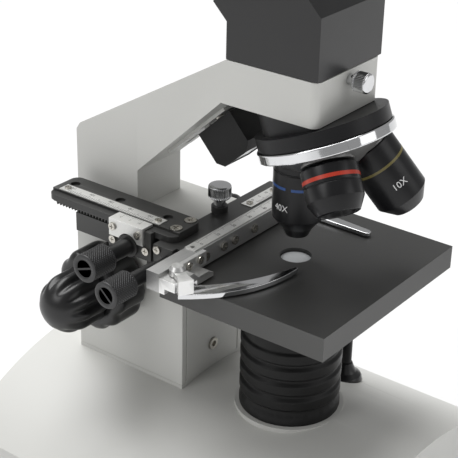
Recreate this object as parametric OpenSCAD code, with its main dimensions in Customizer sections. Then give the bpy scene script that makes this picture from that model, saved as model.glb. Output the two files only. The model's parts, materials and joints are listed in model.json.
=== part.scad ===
// Student compound microscope with a rotating monocular head, a triple nosepiece,
// rack focusing and a bolt-on mechanical stage with a slide holder.
// The row frame has its origin on the table, under the middle of the outline.
// +Z is up, and the front of the base faces -Y. The eyepiece leans to +Y, over the arm.
// Most pieces are drawn in the optical frame: its origin is the middle of the stage's top
// face, on the optical axis.

/* [Base] */
// Width of the base across the foot
base_w = 145; // [121:1:174]
// Length of the base casting from front to back
base_l = 173; // [160:1:208]
// Height of the top of the crown above the table
base_h = 50; // [42:1:60]
// Radius of the crowned top across the base
crown_r = 117; // [98:1:140]
// Wall of the base casting
base_wall = 3; // [2.5:0.1:3.6]
// Corner radius of the base in plan
base_corner_r = 22; // [18:1:26]
// Height of the rubber feet
foot_h = 3; // [2.5:0.1:3.6]
// Radius of the rubber feet
foot_r = 8; // [6.7:0.1:9.6]

/* [Stand] */
// Height of the stage's top face above the table
stage_h = 115; // [115:1:138]
// How far the optical axis lies in front of the middle of the outline
optical_front = 29; // [27:1:32]
// Width of the column housing
housing_w = 40; // [40:1:46]
// Wall of the column housing
housing_wall = 3.5; // [2.9:0.1:4.2]
// Width of the upper column
column_w = 26.8; // [23:0.1:30]
// Width of the head of the arm
head_w = 40.6; // [36:0.1:48]
// Height of the underside of the head above the stage
head_under_z = 62.3; // [60:0.1:66]
// Height of the top of the head above the stage
head_top_z = 79; // [77:0.1:88]

/* [Stage] */
// Width of the stage plate
stage_w = 90; // [78:1:108]
// Distance from the optical axis to the stage's front edge
stage_front = 42.8; // [38:0.1:51]
// Thickness of the stage plate
stage_t = 9.4; // [7.9:0.1:11.2]
// Radius of the hole over the condenser lens
stage_hole_r = 6.1; // [5.1:0.1:7.3]

/* [Focusing] */
// Number of teeth on the focusing pinion
focus_teeth = 16; // [16:1:17]
// Radius of the coarse knobs
coarse_r = 17.1; // [14.3:0.1:18.5]
// Radius of the fine knobs
fine_r = 11.9; // [10:0.1:14.2]

/* [Nosepiece] */
// Tilt of the nosepiece's axis from the optical axis
turret_tilt = 21.6; // [21:0.05:25]
// Radius of the chrome grip ring
turret_r = 25.65; // [23.5:0.05:28]
// Width of the chrome grip ring's band
turret_band = 4; // [3.4:0.1:4.8]
// Radius of the long objectives' barrels
objective_r = 9.9; // [7.8:0.05:10.2]
// Height of the 40X objective's tip above the stage
tip_40x_z = 9; // [9:0.1:12]

/* [Slide holder] */
// Length of the slide holder's bar
x_bar_l = 92.4; // [88:0.1:110]
// Height of the top of the bar above the stage
x_bar_top = 8; // [7.6:0.1:8]
// Length of the front-to-back scale bar
y_bar_l = 65; // [60:1:78]
// Width of the front-to-back scale bar
y_bar_w = 17.3; // [16.6:0.1:20]
// Radius of the two drive knobs
drive_knob_r = 5.4; // [4.5:0.1:6]

/* [Eyepiece] */
// Outer radius of the eyepiece tube
tube_r = 13; // [12.6:0.1:15.6]
// Inner radius of the eyepiece tube
tube_bore_r = 11.6; // [9.7:0.1:11.9]
// Distance from the prism to the mouth of the tube
tube_reach = 103; // [86:1:107]

/* [Hidden] */
$fn = 48;

// clearances
fit = 0.05;        // radial clearance of a running fit
gap = 0.3;         // room between two bodies that move past each other
eps = 0.5;         // how far a cut runs past a face

// base
rear_knob_out = 5; // how far the dimmer knob stands out of the rear wall
base_front_y = -(base_l + rear_knob_out) / 2;
base_rear_y = base_front_y + base_l;
base_mid_y = (base_front_y + base_rear_y) / 2;
plate_t = 2;
base_boss_in = 18;
rear_control_z = 17;

// optical frame, seen from the base
crown_z = base_h - stage_h;
boot_r = 7;
boot_z = -0.4;                         // the boot's seat, from the crown's surface at its middle
post_x = 35;
post_y = -4.5;
post_r = 2.3;
function crown_drop(x) = crown_r - sqrt(crown_r * crown_r - x * x);

// column housing, in the optical frame
housing_y0 = 42;
housing_y1 = 95;
shelf_z = 3.6;
cover_y = 39.2;
slot_w = 15;
housing_x = housing_w / 2;
lip_w = 2.6;
cover_seam = 0.5;
cover_x = housing_x - lip_w - cover_seam;
arm_bolts = [72, 88];
way_reach = 6.6;                       // how far the focusing ways stand in from the walls
way_y0 = 48;
way_y1 = 52;

// focusing rack and pinion
pressure_angle = 20;
backlash = 0.12;
focus_module = 1;
focus_r = focus_module * focus_teeth / 2;
focus_y = 72;
focus_z = -24.8;
coarse_shaft_r = 4;
fine_shaft_r = 2.5;
bush_r = 6;
bush_flange = 1;
knob_x0 = housing_x + bush_flange + 0.4;
coarse_l = 18.3;
fine_x0 = knob_x0 + coarse_l + 0.4;
fine_l = 9.4;                          // from the fine knob's inner face to its dome's centre

// stage
stage_rear = 30;
lift_down = 3;
bracket_t = 4;
lamp_top = -stage_t - lift_down - bracket_t - 0.6;  // top of the lower lamp
disc_r = 21;
disc_t = 1.6;
disc_pivot_y = -14;
disc_holes = [5, 4, 3, 2, 1];

// front-to-back slide
carriage_x1 = -(housing_x + 1);
y_bar_x0 = -(housing_x + 14.3);
y_bar_x1 = y_bar_x0 + y_bar_w;
y_bar_y0 = 32;
y_bar_y1 = y_bar_y0 + y_bar_l;
y_bar_z0 = 7.4;
y_bar_z1 = 11;
carriage_y0 = 43;
carriage_y1 = 82;
carriage_z0 = -2.2;
rack_w = 2.7;
y_module = 0.5;
y_teeth = 18;
y_pinion_r = y_module * y_teeth / 2;
y_axis_y = 51.9;
y_axis_z = 1.9;
y_pitch_z = y_axis_z + y_pinion_r;
dove_x = carriage_x1 - 4.6;
dove_half = 2.2;
dove_z0 = 7.2;
dove_z1 = 9.2;
y_knob_face = -61.9;
y_knob_l = 11.8;
sleeve_r = 3.4;

// side-to-side slide
x_bar_x0 = -56.4;
x_bar_x1 = x_bar_x0 + x_bar_l;
x_bar_y0 = 20.8;
x_bar_y1 = 26.6;
x_bar_z0 = 0.5;
strip_t = 0.4;
guide_y0 = x_bar_y1 + gap;
guide_y1 = 38.4;
guide_z0 = 4.4;
guide_x1 = 36;
rail_z0 = 5.2;
rail_z1 = 6.4;
rail_in = 1.4;
screw_y = 31.8;
screw_z = 2.3;
screw_r = 1.9;
x_knob_face = -72.5;
x_knob_l = 11.8;
x_sleeve_r = 2.9;
x_sleeve_x1 = -46;
clamp_x = 0;
clamp_y = 36.9;
clamp_pin_r = 1;
finger_pivot = [-50, 17.4];
finger_z0 = 0.4;
finger_z1 = 2.4;
finger_hub_r = 3;
block_y0 = 13.4;
block_top = 6.4;
lip_at = 8.1;                          // from the finger's pivot to the lip of its lever

// nosepiece: the ring's middle, and the height where its axis meets the optical axis
apex_z = 78;
ring_up = 29.3;                        // from the ring's middle to that point
ring_y = -ring_up * sin(turret_tilt);
ring_z = apex_z - ring_up * cos(turret_tilt);
shoulder_z = 39.6;                     // where an objective's shoulder seats
thread_r = 7.55;
mount_z0 = turret_band / 2 + gap;      // along the nosepiece's axis, from the ring's middle
mount_z1 = mount_z0 + 5.2;
cone_h = 9.5;                          // depth of the turret's cone below the ring
pivot_r = 2;

// head
boss_r = 21.5;                         // boss between the nosepiece plate and the head
nose_r = 3;                            // round of the head's front corners
flange_r = 15;
flange_z0 = 71.3;
prism_z = 97;
tube_seat = 20;
lock_z = 75.4;
lock_r = 3.7;
lock_head_y = -27;
lock_head_l = 5.5;

// upper lamp: a corner under the arm, and how it lies along the arm's underside
underside_y0 = 22;
underside_y1 = 67.7;
underside_z1 = 20.5;
slope = atan((head_under_z - underside_z1) / (underside_y1 - underside_y0));
lamp_half = 7.6;
lamp_l = 19.5;
lamp_d = 18.4;
lamp_y0 = -29.1;
lamp_wall = 1.8;
lamp_back = 2.4;                       // from the arm to the back of the lamp housing
lamp_pivot = [lamp_y0 + 4, 4.8];
lamp_ear = [4.6, 5.4];
lamp_window = [lamp_y0 + 4, lamp_y0 + lamp_l - 4];

module optic() { translate([0, -optical_front, stage_h]) children(); }
module block(x, y, z) { translate([x[0], y[0], z[0]]) cube([x[1] - x[0], y[1] - y[0], z[1] - z[0]]); }
module cyl_x(r, x, y, z) { translate([x[0], y, z]) rotate([0, 90, 0]) cylinder(r = r, h = x[1] - x[0]); }
module cyl_y(r, x, y, z) { translate([x, y[0], z]) rotate([-90, 0, 0]) cylinder(r = r, h = y[1] - y[0]); }
module cyl_z(r, x, y, z) { translate([x, y, z[0]]) cylinder(r = r, h = z[1] - z[0]); }
// a side outline in Y and Z, given thickness along X
module across(w) { rotate([90, 0, 90]) linear_extrude(w, center = true) children(); }
// an end outline in X and Z, given length along Y
module along(y) { translate([0, y[1], 0]) rotate([90, 0, 0]) linear_extrude(y[1] - y[0]) children(); }
module both_sides() { children(); mirror([1, 0, 0]) children(); }

// a rectangle in plan with round corners, made of circles so that its walls stay true
module round_plan(w, l, r) {
    square([w, l - 2 * r], center = true);
    square([w - 2 * r, l], center = true);
    for (sx = [-1, 1], sy = [-1, 1]) translate([sx * (w / 2 - r), sy * (l / 2 - r)]) circle(r);
}

// involute spur gear in XY with one tooth on +X
function involute(a) = tan(a) * 180 / PI - a;
function tooth_half(m, n, rho) = let (r = m * n / 2, rb = r * cos(pressure_angle))
    (PI * m / 2 - backlash) / 2 / r * 180 / PI + involute(pressure_angle)
    - (rho > rb ? involute(acos(rb / rho)) : 0);
function gear_points(m, n) = let (r = m * n / 2, rb = r * cos(pressure_angle), tip = r + 0.9 * m,
    root = r - 1.2 * m, steps = 4, rhos = concat([root], [for (i = [0:steps]) rb + (tip - rb) * i / steps]))
    [for (k = [0:n - 1], s = [-1, 1], i = [0:steps + 1])
        let (rho = s < 0 ? rhos[i] : rhos[steps + 1 - i], a = 360 * k / n + s * tooth_half(m, n, rho))
        rho * [cos(a), sin(a)]];
module gear(m, n) { polygon(gear_points(m, n)); }

// rack teeth along X, tips towards -Y, with the pitch line on X and a gap at the origin
module rack_teeth(m, from, to, back) {
    pitch = PI * m;
    half = (pitch / 2 - backlash) / 2;
    tip = 0.9 * m;
    root = 1.2 * m;
    translate([from, root]) square([to - from, back - root]);
    for (k = [ceil(from / pitch):floor(to / pitch) - 1]) translate([(k + 0.5) * pitch, 0])
        polygon([[-half + tip * tan(pressure_angle), -tip], [half - tip * tan(pressure_angle), -tip],
            [half + root * tan(pressure_angle), root], [-half - root * tan(pressure_angle), root]]);
}

// a countersunk or pan head screw, head up, with its seat at the origin
module screw(head_r, head_h, shank_r, shank_l) {
    difference() {
        cylinder(r = head_r, h = head_h);
        for (a = [0, 90]) rotate([0, 0, a])
            translate([-head_r * 0.6, -head_r * 0.1, head_h * 0.5]) cube([head_r * 1.2, head_r * 0.2, head_h]);
    }
    translate([0, 0, -shank_l]) cylinder(r = shank_r, h = shank_l + 0.01);
}

// ---------------------------------------------------------------- base
module foot_places() {
    for (sx = [-1, 1], sy = [-1, 1])
        translate([sx * (base_w / 2 - base_boss_in), base_mid_y + sy * (base_l / 2 - base_boss_in), 0]) children();
}
module base_solid(inset) {
    intersection() {
        translate([0, base_mid_y, foot_h - (inset > 0 ? eps : 0)]) linear_extrude(base_h)
            round_plan(base_w - 2 * inset, base_l - 2 * inset, base_corner_r - inset);
        translate([0, base_rear_y + eps, base_h - crown_r]) rotate([90, 0, 0])
            cylinder(r = crown_r - inset, h = base_l + 2 * eps, $fn = 96);
    }
}
module post_place() { translate([post_x, post_y, crown_z - crown_drop(post_x)]) children(); }
module base_shell() {
    color("gainsboro") difference() {
        union() {
            difference() {
                base_solid(0);
                base_solid(base_wall);
            }
            intersection() {
                base_solid(0);
                foot_places() translate([0, 0, foot_h + plate_t]) cylinder(r = 4.5, h = base_h);
            }
            optic() block([-housing_x, housing_x], [cover_y, housing_y1], [crown_z - base_wall, crown_z]);
            optic() cyl_z(22, 0, 0, [crown_z - base_wall, crown_z]);
            optic() post_place() cyl_z(boot_r + 0.4, 0, 0, [boot_z - 4.6, boot_z]);
        }
        foot_places() cylinder(r = 1.5 + fit, h = 16);
        optic() cyl_z(14, 0, 0, [crown_z - 6, crown_z + eps]);
        optic() block([-12, 12], [54, 86], [crown_z - 6, crown_z + eps]);
        // openings for the rear controls
        cyl_y(4.2, -25, [base_rear_y - base_wall - eps, base_rear_y + eps], rear_control_z);
        block([-7.2, 7.2], [base_rear_y - base_wall - eps, base_rear_y + eps],
            [rear_control_z - 10.2, rear_control_z + 10.2]);
        cyl_y(3 + fit, 25, [base_rear_y - base_wall - eps, base_rear_y + eps], rear_control_z);
        optic() post_place() cyl_z(1.5, 0, 0, [-9, 5]);
        optic() post_place() cyl_z(boot_r + fit, 0, 0, [boot_z, boot_z + 6]);
    }
}
module base_plate() {
    inset = base_wall + 0.2;
    color("dimgray") difference() {
        translate([0, base_mid_y, foot_h]) linear_extrude(plate_t)
            round_plan(base_w - 2 * inset, base_l - 2 * inset, base_corner_r - inset);
        foot_places() cylinder(r = 1.5 + fit, h = 8);
        // vent slots under the boards
        for (k = [-3:3]) translate([k * 8, base_rear_y - 45, 0]) block([-1.5, 1.5], [-14, 14], [0, 8]);
    }
}
module rubber_feet() {
    color([0.1, 0.1, 0.1]) foot_places() difference() {
        cylinder(r = foot_r, h = foot_h);
        translate([0, 0, -eps]) cylinder(r = 3.4, h = foot_h * 0.6 + eps);
        translate([0, 0, -eps]) cylinder(r = 1.5 + fit, h = 8);
    }
}
module stand_screws() {
    color("silver") {
        // foot screws
        foot_places() translate([0, 0, foot_h * 0.6]) rotate([180, 0, 0]) screw(3, 1.2, 1.5, 12);
        // cap screw low on the front cover
        optic() difference() {
            union() {
                cyl_y(2.6, 0, [cover_y - 0.8, cover_y + 1.4], -54);
                cyl_y(1.5, 0, [cover_y + 1.4, housing_y0 + 6], -54);
            }
            translate([0, cover_y + 0.6, -54]) rotate([90, 0, 0]) cylinder(r = 1.4, h = 2, $fn = 6);
        }
        // bolts up into the column
        optic() for (y = arm_bolts) translate([0, y, shelf_z - 3.6]) rotate([180, 0, 0]) screw(3.2, 3, 2, 12);
        // lamp bracket screws
        optic() lamp_frame() for (x = [-4, 4]) translate([x, -18.5, 1.2]) screw(1.7, 0.7, 1.2, 4);
    }
}
// ---------------------------------------------------------------- column and focusing
module column_housing() {
    color("lightgray") optic() difference() {
        union() {
            difference() {
                block([-housing_x, housing_x], [housing_y0, housing_y1], [crown_z, shelf_z]);
                block([-housing_x + housing_wall, housing_x - housing_wall], [housing_y0 - eps,
                    housing_y1 - housing_wall], [crown_z - eps, shelf_z - 3.6]);
            }
            // dovetail ways for the stage bracket
            both_sides() block([housing_x - housing_wall - way_reach, housing_x - housing_wall + 0.1],
                [way_y0, way_y1], [-46, -2]);
            // boss behind the cover screw
            block([-5, 5], [housing_y0, housing_y0 + 7], [-58, -50]);
            both_sides() block([4, housing_x - housing_wall + 0.1], [housing_y0, housing_y0 + 4], [-57, -51]);
            // lips on both sides of the front cover
            both_sides() block([housing_x - lip_w, housing_x], [cover_y, housing_y0 + 1], [crown_z, shelf_z]);
        }
        both_sides() cyl_x(bush_r, [housing_x - housing_wall - eps, housing_x + eps], focus_y, focus_z);
        for (y = arm_bolts) cyl_z(2 + fit, 0, y, [-4, shelf_z + eps]);
        cyl_y(1.5 + fit, 0, [housing_y0 - eps, housing_y0 + 7 + eps], -54);
    }
}
module front_cover() {
    color("lightgray") optic() difference() {
        block([-cover_x, cover_x], [cover_y, housing_y0], [crown_z, shelf_z]);
        block([-slot_w / 2, slot_w / 2], [cover_y - eps, housing_y0 + eps], [-32, -2]);
        cyl_y(1.5 + fit, 0, [cover_y - eps, housing_y0 + eps], -54);
        cyl_y(2.7, 0, [cover_y - eps, cover_y + 1.4], -54);
    }
}
module shaft_bushes() {
    color("goldenrod") optic() both_sides() difference() {
        union() {
            cyl_x(bush_r, [housing_x - housing_wall, housing_x], focus_y, focus_z);
            cyl_x(bush_r + 1.5, [housing_x, housing_x + bush_flange], focus_y, focus_z);
        }
        cyl_x(coarse_shaft_r + fit, [housing_x - housing_wall - eps, housing_x + 3], focus_y, focus_z);
    }
}
module coarse_shaft() {
    color("silver") optic() difference() {
        union() {
            cyl_x(coarse_shaft_r, [-knob_x0 - coarse_l + 1, knob_x0 + coarse_l - 1], focus_y, focus_z);
            // pinion, with a tooth towards the rack
            translate([-4, focus_y, focus_z]) rotate([90, 0, 90]) linear_extrude(8)
                rotate([0, 0, 180]) gear(focus_module, focus_teeth);
        }
        cyl_x(fine_shaft_r + fit, [-knob_x0 - coarse_l, knob_x0 + coarse_l], focus_y, focus_z);
    }
}
module fine_shaft() {
    color("silver") optic()
        cyl_x(fine_shaft_r, [-fine_x0 - fine_l, fine_x0 + fine_l], focus_y, focus_z);
}
flutes = 12;
module coarse_knobs() {
    color([0.12, 0.12, 0.12]) optic() both_sides() translate([knob_x0, focus_y, focus_z]) rotate([0, 90, 0])
        difference() {
            rotate_extrude($fn = 72) polygon(concat([[coarse_shaft_r, 0], [coarse_r - 3, 0]],
                [for (a = [-90:15:90]) [coarse_r - 3 + 3 * cos(a), coarse_l / 2 + (coarse_l / 2 - 3) * sign(a)
                    * (abs(a) > 0 ? 1 : 0) + 3 * sin(a)]],
                [[coarse_r - 3, coarse_l], [coarse_shaft_r, coarse_l]]));
            for (k = [0:flutes - 1]) rotate([0, 0, k * 360 / flutes]) translate([coarse_r + 1.2, 0, -1])
                rotate([0, -3, 0]) cylinder(r = 2.2, h = coarse_l + 4, $fn = 24);
        }
}
module fine_knobs() {
    color([0.12, 0.12, 0.12]) optic() both_sides() translate([fine_x0, focus_y, focus_z]) rotate([0, 90, 0])
        difference() {
            rotate_extrude($fn = 72) polygon(concat([[0, 0], [fine_r, 0]],
                [for (a = [0:10:90]) [fine_r * cos(a), fine_l + fine_r * sin(a)]]));
            translate([0, 0, -eps]) cylinder(r = fine_shaft_r, h = fine_l + eps);
            for (k = [0:flutes - 1]) rotate([0, 0, k * 360 / flutes]) translate([fine_r + 0.6, 0, -1])
                rotate([0, -6, 0]) cylinder(r = 1.5, h = fine_l + 8, $fn = 24);
        }
}
// ---------------------------------------------------------------- arm and head
module arm_profile() {
    polygon([[-19, head_under_z], [-19, head_top_z], [20, head_top_z], [98, 33], [100, 30], [100, shelf_z],
        [67.7, shelf_z], [67.7, underside_z1], [underside_y0, head_under_z]]);
}
module arm() {
    head_x = head_w / 2;
    column_x = column_w / 2;
    color("gainsboro") optic() difference() {
        union() {
            intersection() {
                across(head_w + 2) arm_profile();
                linear_extrude(head_top_z + 1) polygon(concat(
                    [for (a = [180:15:270]) [nose_r * (1 + cos(a)) - head_x, nose_r * (1 + sin(a)) - 19]],
                    [for (a = [-90:15:0]) [head_x - nose_r * (1 - cos(a)), nose_r * (1 + sin(a)) - 19]],
                    [[head_x, 20], [column_x, 67.7], [column_x, 101], [-column_x, 101],
                        [-column_x, 67.7], [-head_x, 20]]));
            }
        }
        cyl_z(flange_r + fit, 0, 0, [flange_z0 - gap, head_top_z + eps]);
        cyl_z(7.4, 0, 0, [44, head_top_z]);
        cyl_y(2 + fit, 0, [-20, -10], lock_z);
        // duct for the upper lamp's lead
        cyl_z(4, 0, 80, [shelf_z - eps, 24]);
        for (y = arm_bolts) cyl_z(2 + fit, 0, y, [shelf_z - eps, shelf_z + 9]);
        lamp_frame() for (x = [-4, 4]) translate([x, -18.5, -5]) cylinder(r = 1.2 + fit, h = 6);
        turret_frame() cylinder(r = pivot_r + 0.02, h = 14);
    }
}
module head_lock_screw() {
    color("silver") optic() {
        cyl_y(lock_r, 0, [lock_head_y, lock_head_y + lock_head_l], lock_z);
        cyl_y(2, 0, [lock_head_y + lock_head_l, -flange_r - gap], lock_z);
    }
}
module prism_profile() {
    seat = tube_seat / sqrt(2);
    half = 17 / sqrt(2);
    polygon([[-19, head_top_z + gap], [20, head_top_z + gap], [20, prism_z - 4],
        [seat + half, prism_z + seat - half], [seat - half, prism_z + seat + half], [-19, prism_z + 5]]);
}
module tube_frame() { translate([0, 0, prism_z]) rotate([-45, 0, 0]) children(); }
module prism_housing() {
    color([0.1, 0.1, 0.1]) optic() difference() {
        union() {
            across(head_w) prism_profile();
            cyl_z(flange_r, 0, 0, [flange_z0, head_top_z + 1]);
        }
        translate([0, 2, prism_z + 1]) scale(0.82) translate([0, -2, -prism_z - 1]) across(head_w) prism_profile();
        cyl_z(9.5, 0, 0, [flange_z0 - eps, head_top_z + 8]);
        tube_frame() cylinder(r = tube_bore_r, h = tube_seat + eps);
    }
    // rails that the prism stands on
    color([0.1, 0.1, 0.1]) optic() both_sides() block([7.5, 11], [-9, 9], [head_top_z + 1, prism_z - 9]);
}
module prism() {
    color("lightcyan", 0.5) optic() across(18)
        polygon([[-9, prism_z - 9], [9, prism_z - 9], [9, prism_z + 2], [2, prism_z + 9], [-9, prism_z + 4]]);
}
module eyepiece_tube() {
    color([0.15, 0.15, 0.15]) optic() tube_frame() difference() {
        union() {
            translate([0, 0, tube_seat]) cylinder(r = tube_r, h = tube_reach - tube_seat);
            translate([0, 0, tube_seat]) cylinder(r = tube_r + 2, h = 4);
        }
        translate([0, 0, tube_seat - eps]) cylinder(r = tube_bore_r, h = tube_reach);
    }
}
eyepiece_head = 18;
module eyepiece() {
    r = tube_bore_r - fit;
    color([0.08, 0.08, 0.08]) optic() tube_frame() translate([0, 0, tube_reach]) difference() {
        union() {
            translate([0, 0, -28]) cylinder(r = r, h = 28);
            cylinder(r = tube_r + 1, h = eyepiece_head);
        }
        translate([0, 0, -28 - eps]) cylinder(r = r - 2, h = 24);
        translate([0, 0, -5]) cylinder(r = 5, h = 20);
        translate([0, 0, 9]) cylinder(r = 8, h = 20);
    }
}
module eyepiece_lenses() {
    color("lightcyan", 0.5) optic() tube_frame() translate([0, 0, tube_reach]) {
        translate([0, 0, -9]) cylinder(r = tube_bore_r - fit - 2, h = 3);
        translate([0, 0, 10]) cylinder(r = 8, h = 4);
    }
}
module eyecup() {
    color([0.05, 0.05, 0.05]) optic() tube_frame() translate([0, 0, tube_reach + eyepiece_head])
        rotate_extrude() polygon([[9, 0], [tube_r + 1, 0], [tube_r + 2.5, 9], [tube_r + 1.3, 9], [11, 2]]);
}
// ---------------------------------------------------------------- nosepiece
module turret_frame() { translate([0, ring_y, ring_z]) rotate([-turret_tilt, 0, 0]) children(); }
// the frame of objective k: its axis is the optical axis once it is turned to the rear
module at_objective(k) {
    turret_frame() rotate([0, 0, 120 * k]) rotate([turret_tilt, 0, 0]) translate([0, -ring_y, -ring_z]) children();
}
module nosepiece_mount() {
    color([0.1, 0.1, 0.1]) optic() difference() {
        union() {
            turret_frame() translate([0, 0, mount_z0])
                cylinder(r = turret_r - 0.75, h = mount_z1 - mount_z0, $fn = 72);
            // round boss, cut off level where it meets the head
            intersection() {
                turret_frame() translate([0, 0, mount_z1 - 0.1]) cylinder(r = boss_r, h = 16);
                block([0.4 - head_w / 2, head_w / 2 - 0.4], [-19, 20], [40, head_under_z]);
            }
        }
        cyl_z(7.2, 0, 0, [40, 66]);
        turret_frame() cylinder(r = pivot_r + 0.02, h = 14);
    }
}
module turret_pivot_screw() {
    color("silver") optic() turret_frame() {
        translate([0, 0, -9.8]) cylinder(r = 3.3, h = 1.8);
        translate([0, 0, -8]) cylinder(r = pivot_r, h = 8 + mount_z1 + 4);
    }
}
module turret() {
    half = turret_band / 2;
    color("darkgray") optic() difference() {
        union() {
            turret_frame() translate([0, 0, -half]) cylinder(r = turret_r - 1.65, h = turret_band);
            turret_frame() translate([0, 0, -half - cone_h]) cylinder(r1 = 8, r2 = turret_r - 2.6, h = cone_h);
            // bosses that the objectives screw into
            intersection() {
                for (k = [0:2]) at_objective(k) cyl_z(9.6, 0, 0, [shoulder_z, shoulder_z + 9]);
                turret_frame() translate([0, 0, -20]) cylinder(r = turret_r - 1.65, h = 20);
            }
        }
        for (k = [0:2]) at_objective(k) {
            cyl_z(thread_r + fit, 0, 0, [shoulder_z - 6, shoulder_z + 4]);
            cyl_z(6.8, 0, 0, [shoulder_z, shoulder_z + 16]);
            cyl_z(objective_4x_r + 0.15, 0, 0, [shoulder_z - 10, shoulder_z]);
        }
        turret_frame() translate([0, 0, -20]) cylinder(r = pivot_r + fit, h = 30);
        turret_frame() translate([0, 0, -20]) cylinder(r = 3.6, h = 12);
    }
}
module turret_ring() {
    half = turret_band / 2;
    color("silver") optic() turret_frame() translate([0, 0, -half]) difference() {
        cylinder(r = turret_r, h = turret_band, $fn = 96);
        translate([0, 0, -eps]) cylinder(r = turret_r - 1.65, h = turret_band + 2 * eps);
    }
}
// an objective: outline points are radius and height above the stage, top to tip
module objective(k, outline, tip_z, bore) {
    color([0.08, 0.08, 0.08]) optic() at_objective(k) difference() {
        rotate_extrude($fn = 64) polygon(concat([[0, shoulder_z + 3.4], [thread_r, shoulder_z + 3.4],
            [thread_r, shoulder_z]], outline, [[0, tip_z]]));
        cyl_z(6, 0, 0, [tip_z + 6, shoulder_z + 6]);
        cyl_z(bore, 0, 0, [tip_z - eps, tip_z + 7]);
    }
}
tip_4x_z = 21.2;
tip_10x_z = 10;
objective_4x_r = objective_r + 0.5;
front_lens_r = [3.2, 2.4, 6.2];
module objective_40x() {
    r = objective_r;
    objective(0, [[r, shoulder_z], [r, 17.4], [6.4, 13.2], [5.9, 12.6], [4.2, tip_40x_z]], tip_40x_z, front_lens_r[1]);
}
module objective_4x() {
    r = objective_4x_r;
    objective(1, [[r - 1, shoulder_z], [r - 1, shoulder_z - 1], [r, shoulder_z - 1.6], [r, 33.2], [r - 0.35, 33],
        [r - 0.35, 32.6], [r, 32.4], [r, 26.5], [r - 2.6, tip_4x_z]], tip_4x_z, front_lens_r[2]);
}
module objective_10x() {
    r = objective_4x_r;
    objective(2, [[r, shoulder_z], [r, 15.6], [6.2, tip_10x_z]], tip_10x_z, front_lens_r[0]);
}
module objective_lenses() {
    color("lightcyan", 0.6) optic() {
        at_objective(0) cyl_z(front_lens_r[1], 0, 0, [tip_40x_z + 1, tip_40x_z + 4]);
        at_objective(1) cyl_z(front_lens_r[2] - 0.2, 0, 0, [tip_4x_z + 3, tip_4x_z + 5.8]);
        at_objective(2) cyl_z(front_lens_r[0], 0, 0, [tip_10x_z + 1, tip_10x_z + 4]);
    }
}
// ---------------------------------------------------------------- illuminators
lens_r = 14;
module illuminator_housing() {
    pitch = 6.9;
    ring_top = lamp_top - 16.25;
    color([0.1, 0.1, 0.1]) optic() difference() {
        rotate_extrude($fn = 72) polygon(concat([[0, crown_z], [20.2, crown_z], [20.2, crown_z + 2.6]],
            [for (k = [3:-1:0], p = [[19, -5.6], [19, -4.6], [20.2, -3.8], [20.2, 0]])
                if (ring_top - k * pitch + p[1] > crown_z + 3) [p[0], ring_top - k * pitch + p[1]]],
            [[19.2, ring_top + 1], [19.2, lamp_top - 1], [18.2, lamp_top], [0, lamp_top]]));
        cyl_z(lens_r, 0, 0, [lamp_top - 2.5, lamp_top + eps]);
        cyl_z(13, 0, 0, [-40, lamp_top + eps]);
        cyl_z(10, 0, 0, [crown_z - eps, -38]);
    }
}
module illuminator_lens() {
    color("aliceblue", 0.6) optic() cyl_z(lens_r, 0, 0, [lamp_top - 2.5, lamp_top - 0.2]);
}
module circuit_boards() {
    color("darkgreen") {
        optic() cyl_z(12, 0, 0, [-36, -34.4]);
        optic() cyl_z(3, 0, 0, [-34.4, -32]);
        // driver board on the base plate, with its socket in the rear wall
        block([-40, 40], [base_rear_y - base_wall - 34, base_rear_y - base_wall - 13], [foot_h + plate_t + 4,
            foot_h + plate_t + 5.6]);
        for (x = [-36, 36], y = [-31, -16])
            cyl_z(2.4, x, base_rear_y - base_wall + y, [foot_h + plate_t, foot_h + plate_t + 4]);
        difference() {
            union() {
                cyl_y(4, -25, [base_rear_y - 12, base_rear_y], rear_control_z);
                block([-30, -20], [base_rear_y - base_wall - 20, base_rear_y - base_wall - 0.3],
                    [foot_h + plate_t + 5.6, rear_control_z + 5]);
            }
            cyl_y(2.75, -25, [base_rear_y - 9, base_rear_y + eps], rear_control_z);
        }
        cyl_y(1, -25, [base_rear_y - 9.5, base_rear_y - 1], rear_control_z);
    }
}
module stop_post() {
    color("dimgray") optic() post_place() {
        cyl_z(1.5, 0, 0, [-8, boot_z + 0.1]);
        cyl_z(post_r, 0, 0, [boot_z, -stage_t - lift_down - 0.2 - crown_z + crown_drop(post_x)]);
    }
}
module post_boot() {
    color([0.05, 0.05, 0.05]) optic() post_place() translate([0, 0, boot_z]) difference() {
        rotate_extrude() polygon([[0, 0], [boot_r, 0], [boot_r, 1.6], [boot_r - 0.6, 2.6], [boot_r - 2.6, 4.2],
            [post_r + 1.1, 6], [post_r + 0.6, 8], [0, 8]]);
        translate([0, 0, -eps]) cylinder(r = post_r, h = 9);
    }
}
// the frame on the arm's underside: Y runs up the slope to the front, Z points out of the arm
module lamp_frame() {
    translate([0, underside_y0, head_under_z]) rotate([180 - slope, 0, 0]) children();
}
module lamp_bracket() {
    color([0.3, 0.3, 0.3]) optic() lamp_frame() difference() {
        union() {
            block([-7, 7], [-48, -12], [0, 1.2]);
            both_sides() block(lamp_ear, [lamp_pivot[0] - 1.6, lamp_pivot[0] + 1.6], [0, lamp_pivot[1] + 1.6]);
        }
        block([-1.6, 1.6], [-44, -36], [-1, 3]);
        for (x = [-4, 4]) translate([x, -18.5, -5]) cylinder(r = 1.2 + fit, h = 10);
        cyl_x(1 + fit, [-9, 9], lamp_pivot[0], lamp_pivot[1]);
    }
}
module lamp_body(inset) {
    y0 = lamp_y0;
    y1 = y0 + lamp_l;
    z0 = lamp_back;
    z1 = lamp_d;
    c = 3;
    across(2 * (lamp_half - inset)) polygon([[y0 + inset, z0 + inset], [y1 - inset, z0 + inset],
        [y1 - inset, z1 - c], [y1 - c, z1 - inset], [y0 + c, z1 - inset], [y0 + inset, z1 - c]]);
}
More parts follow.
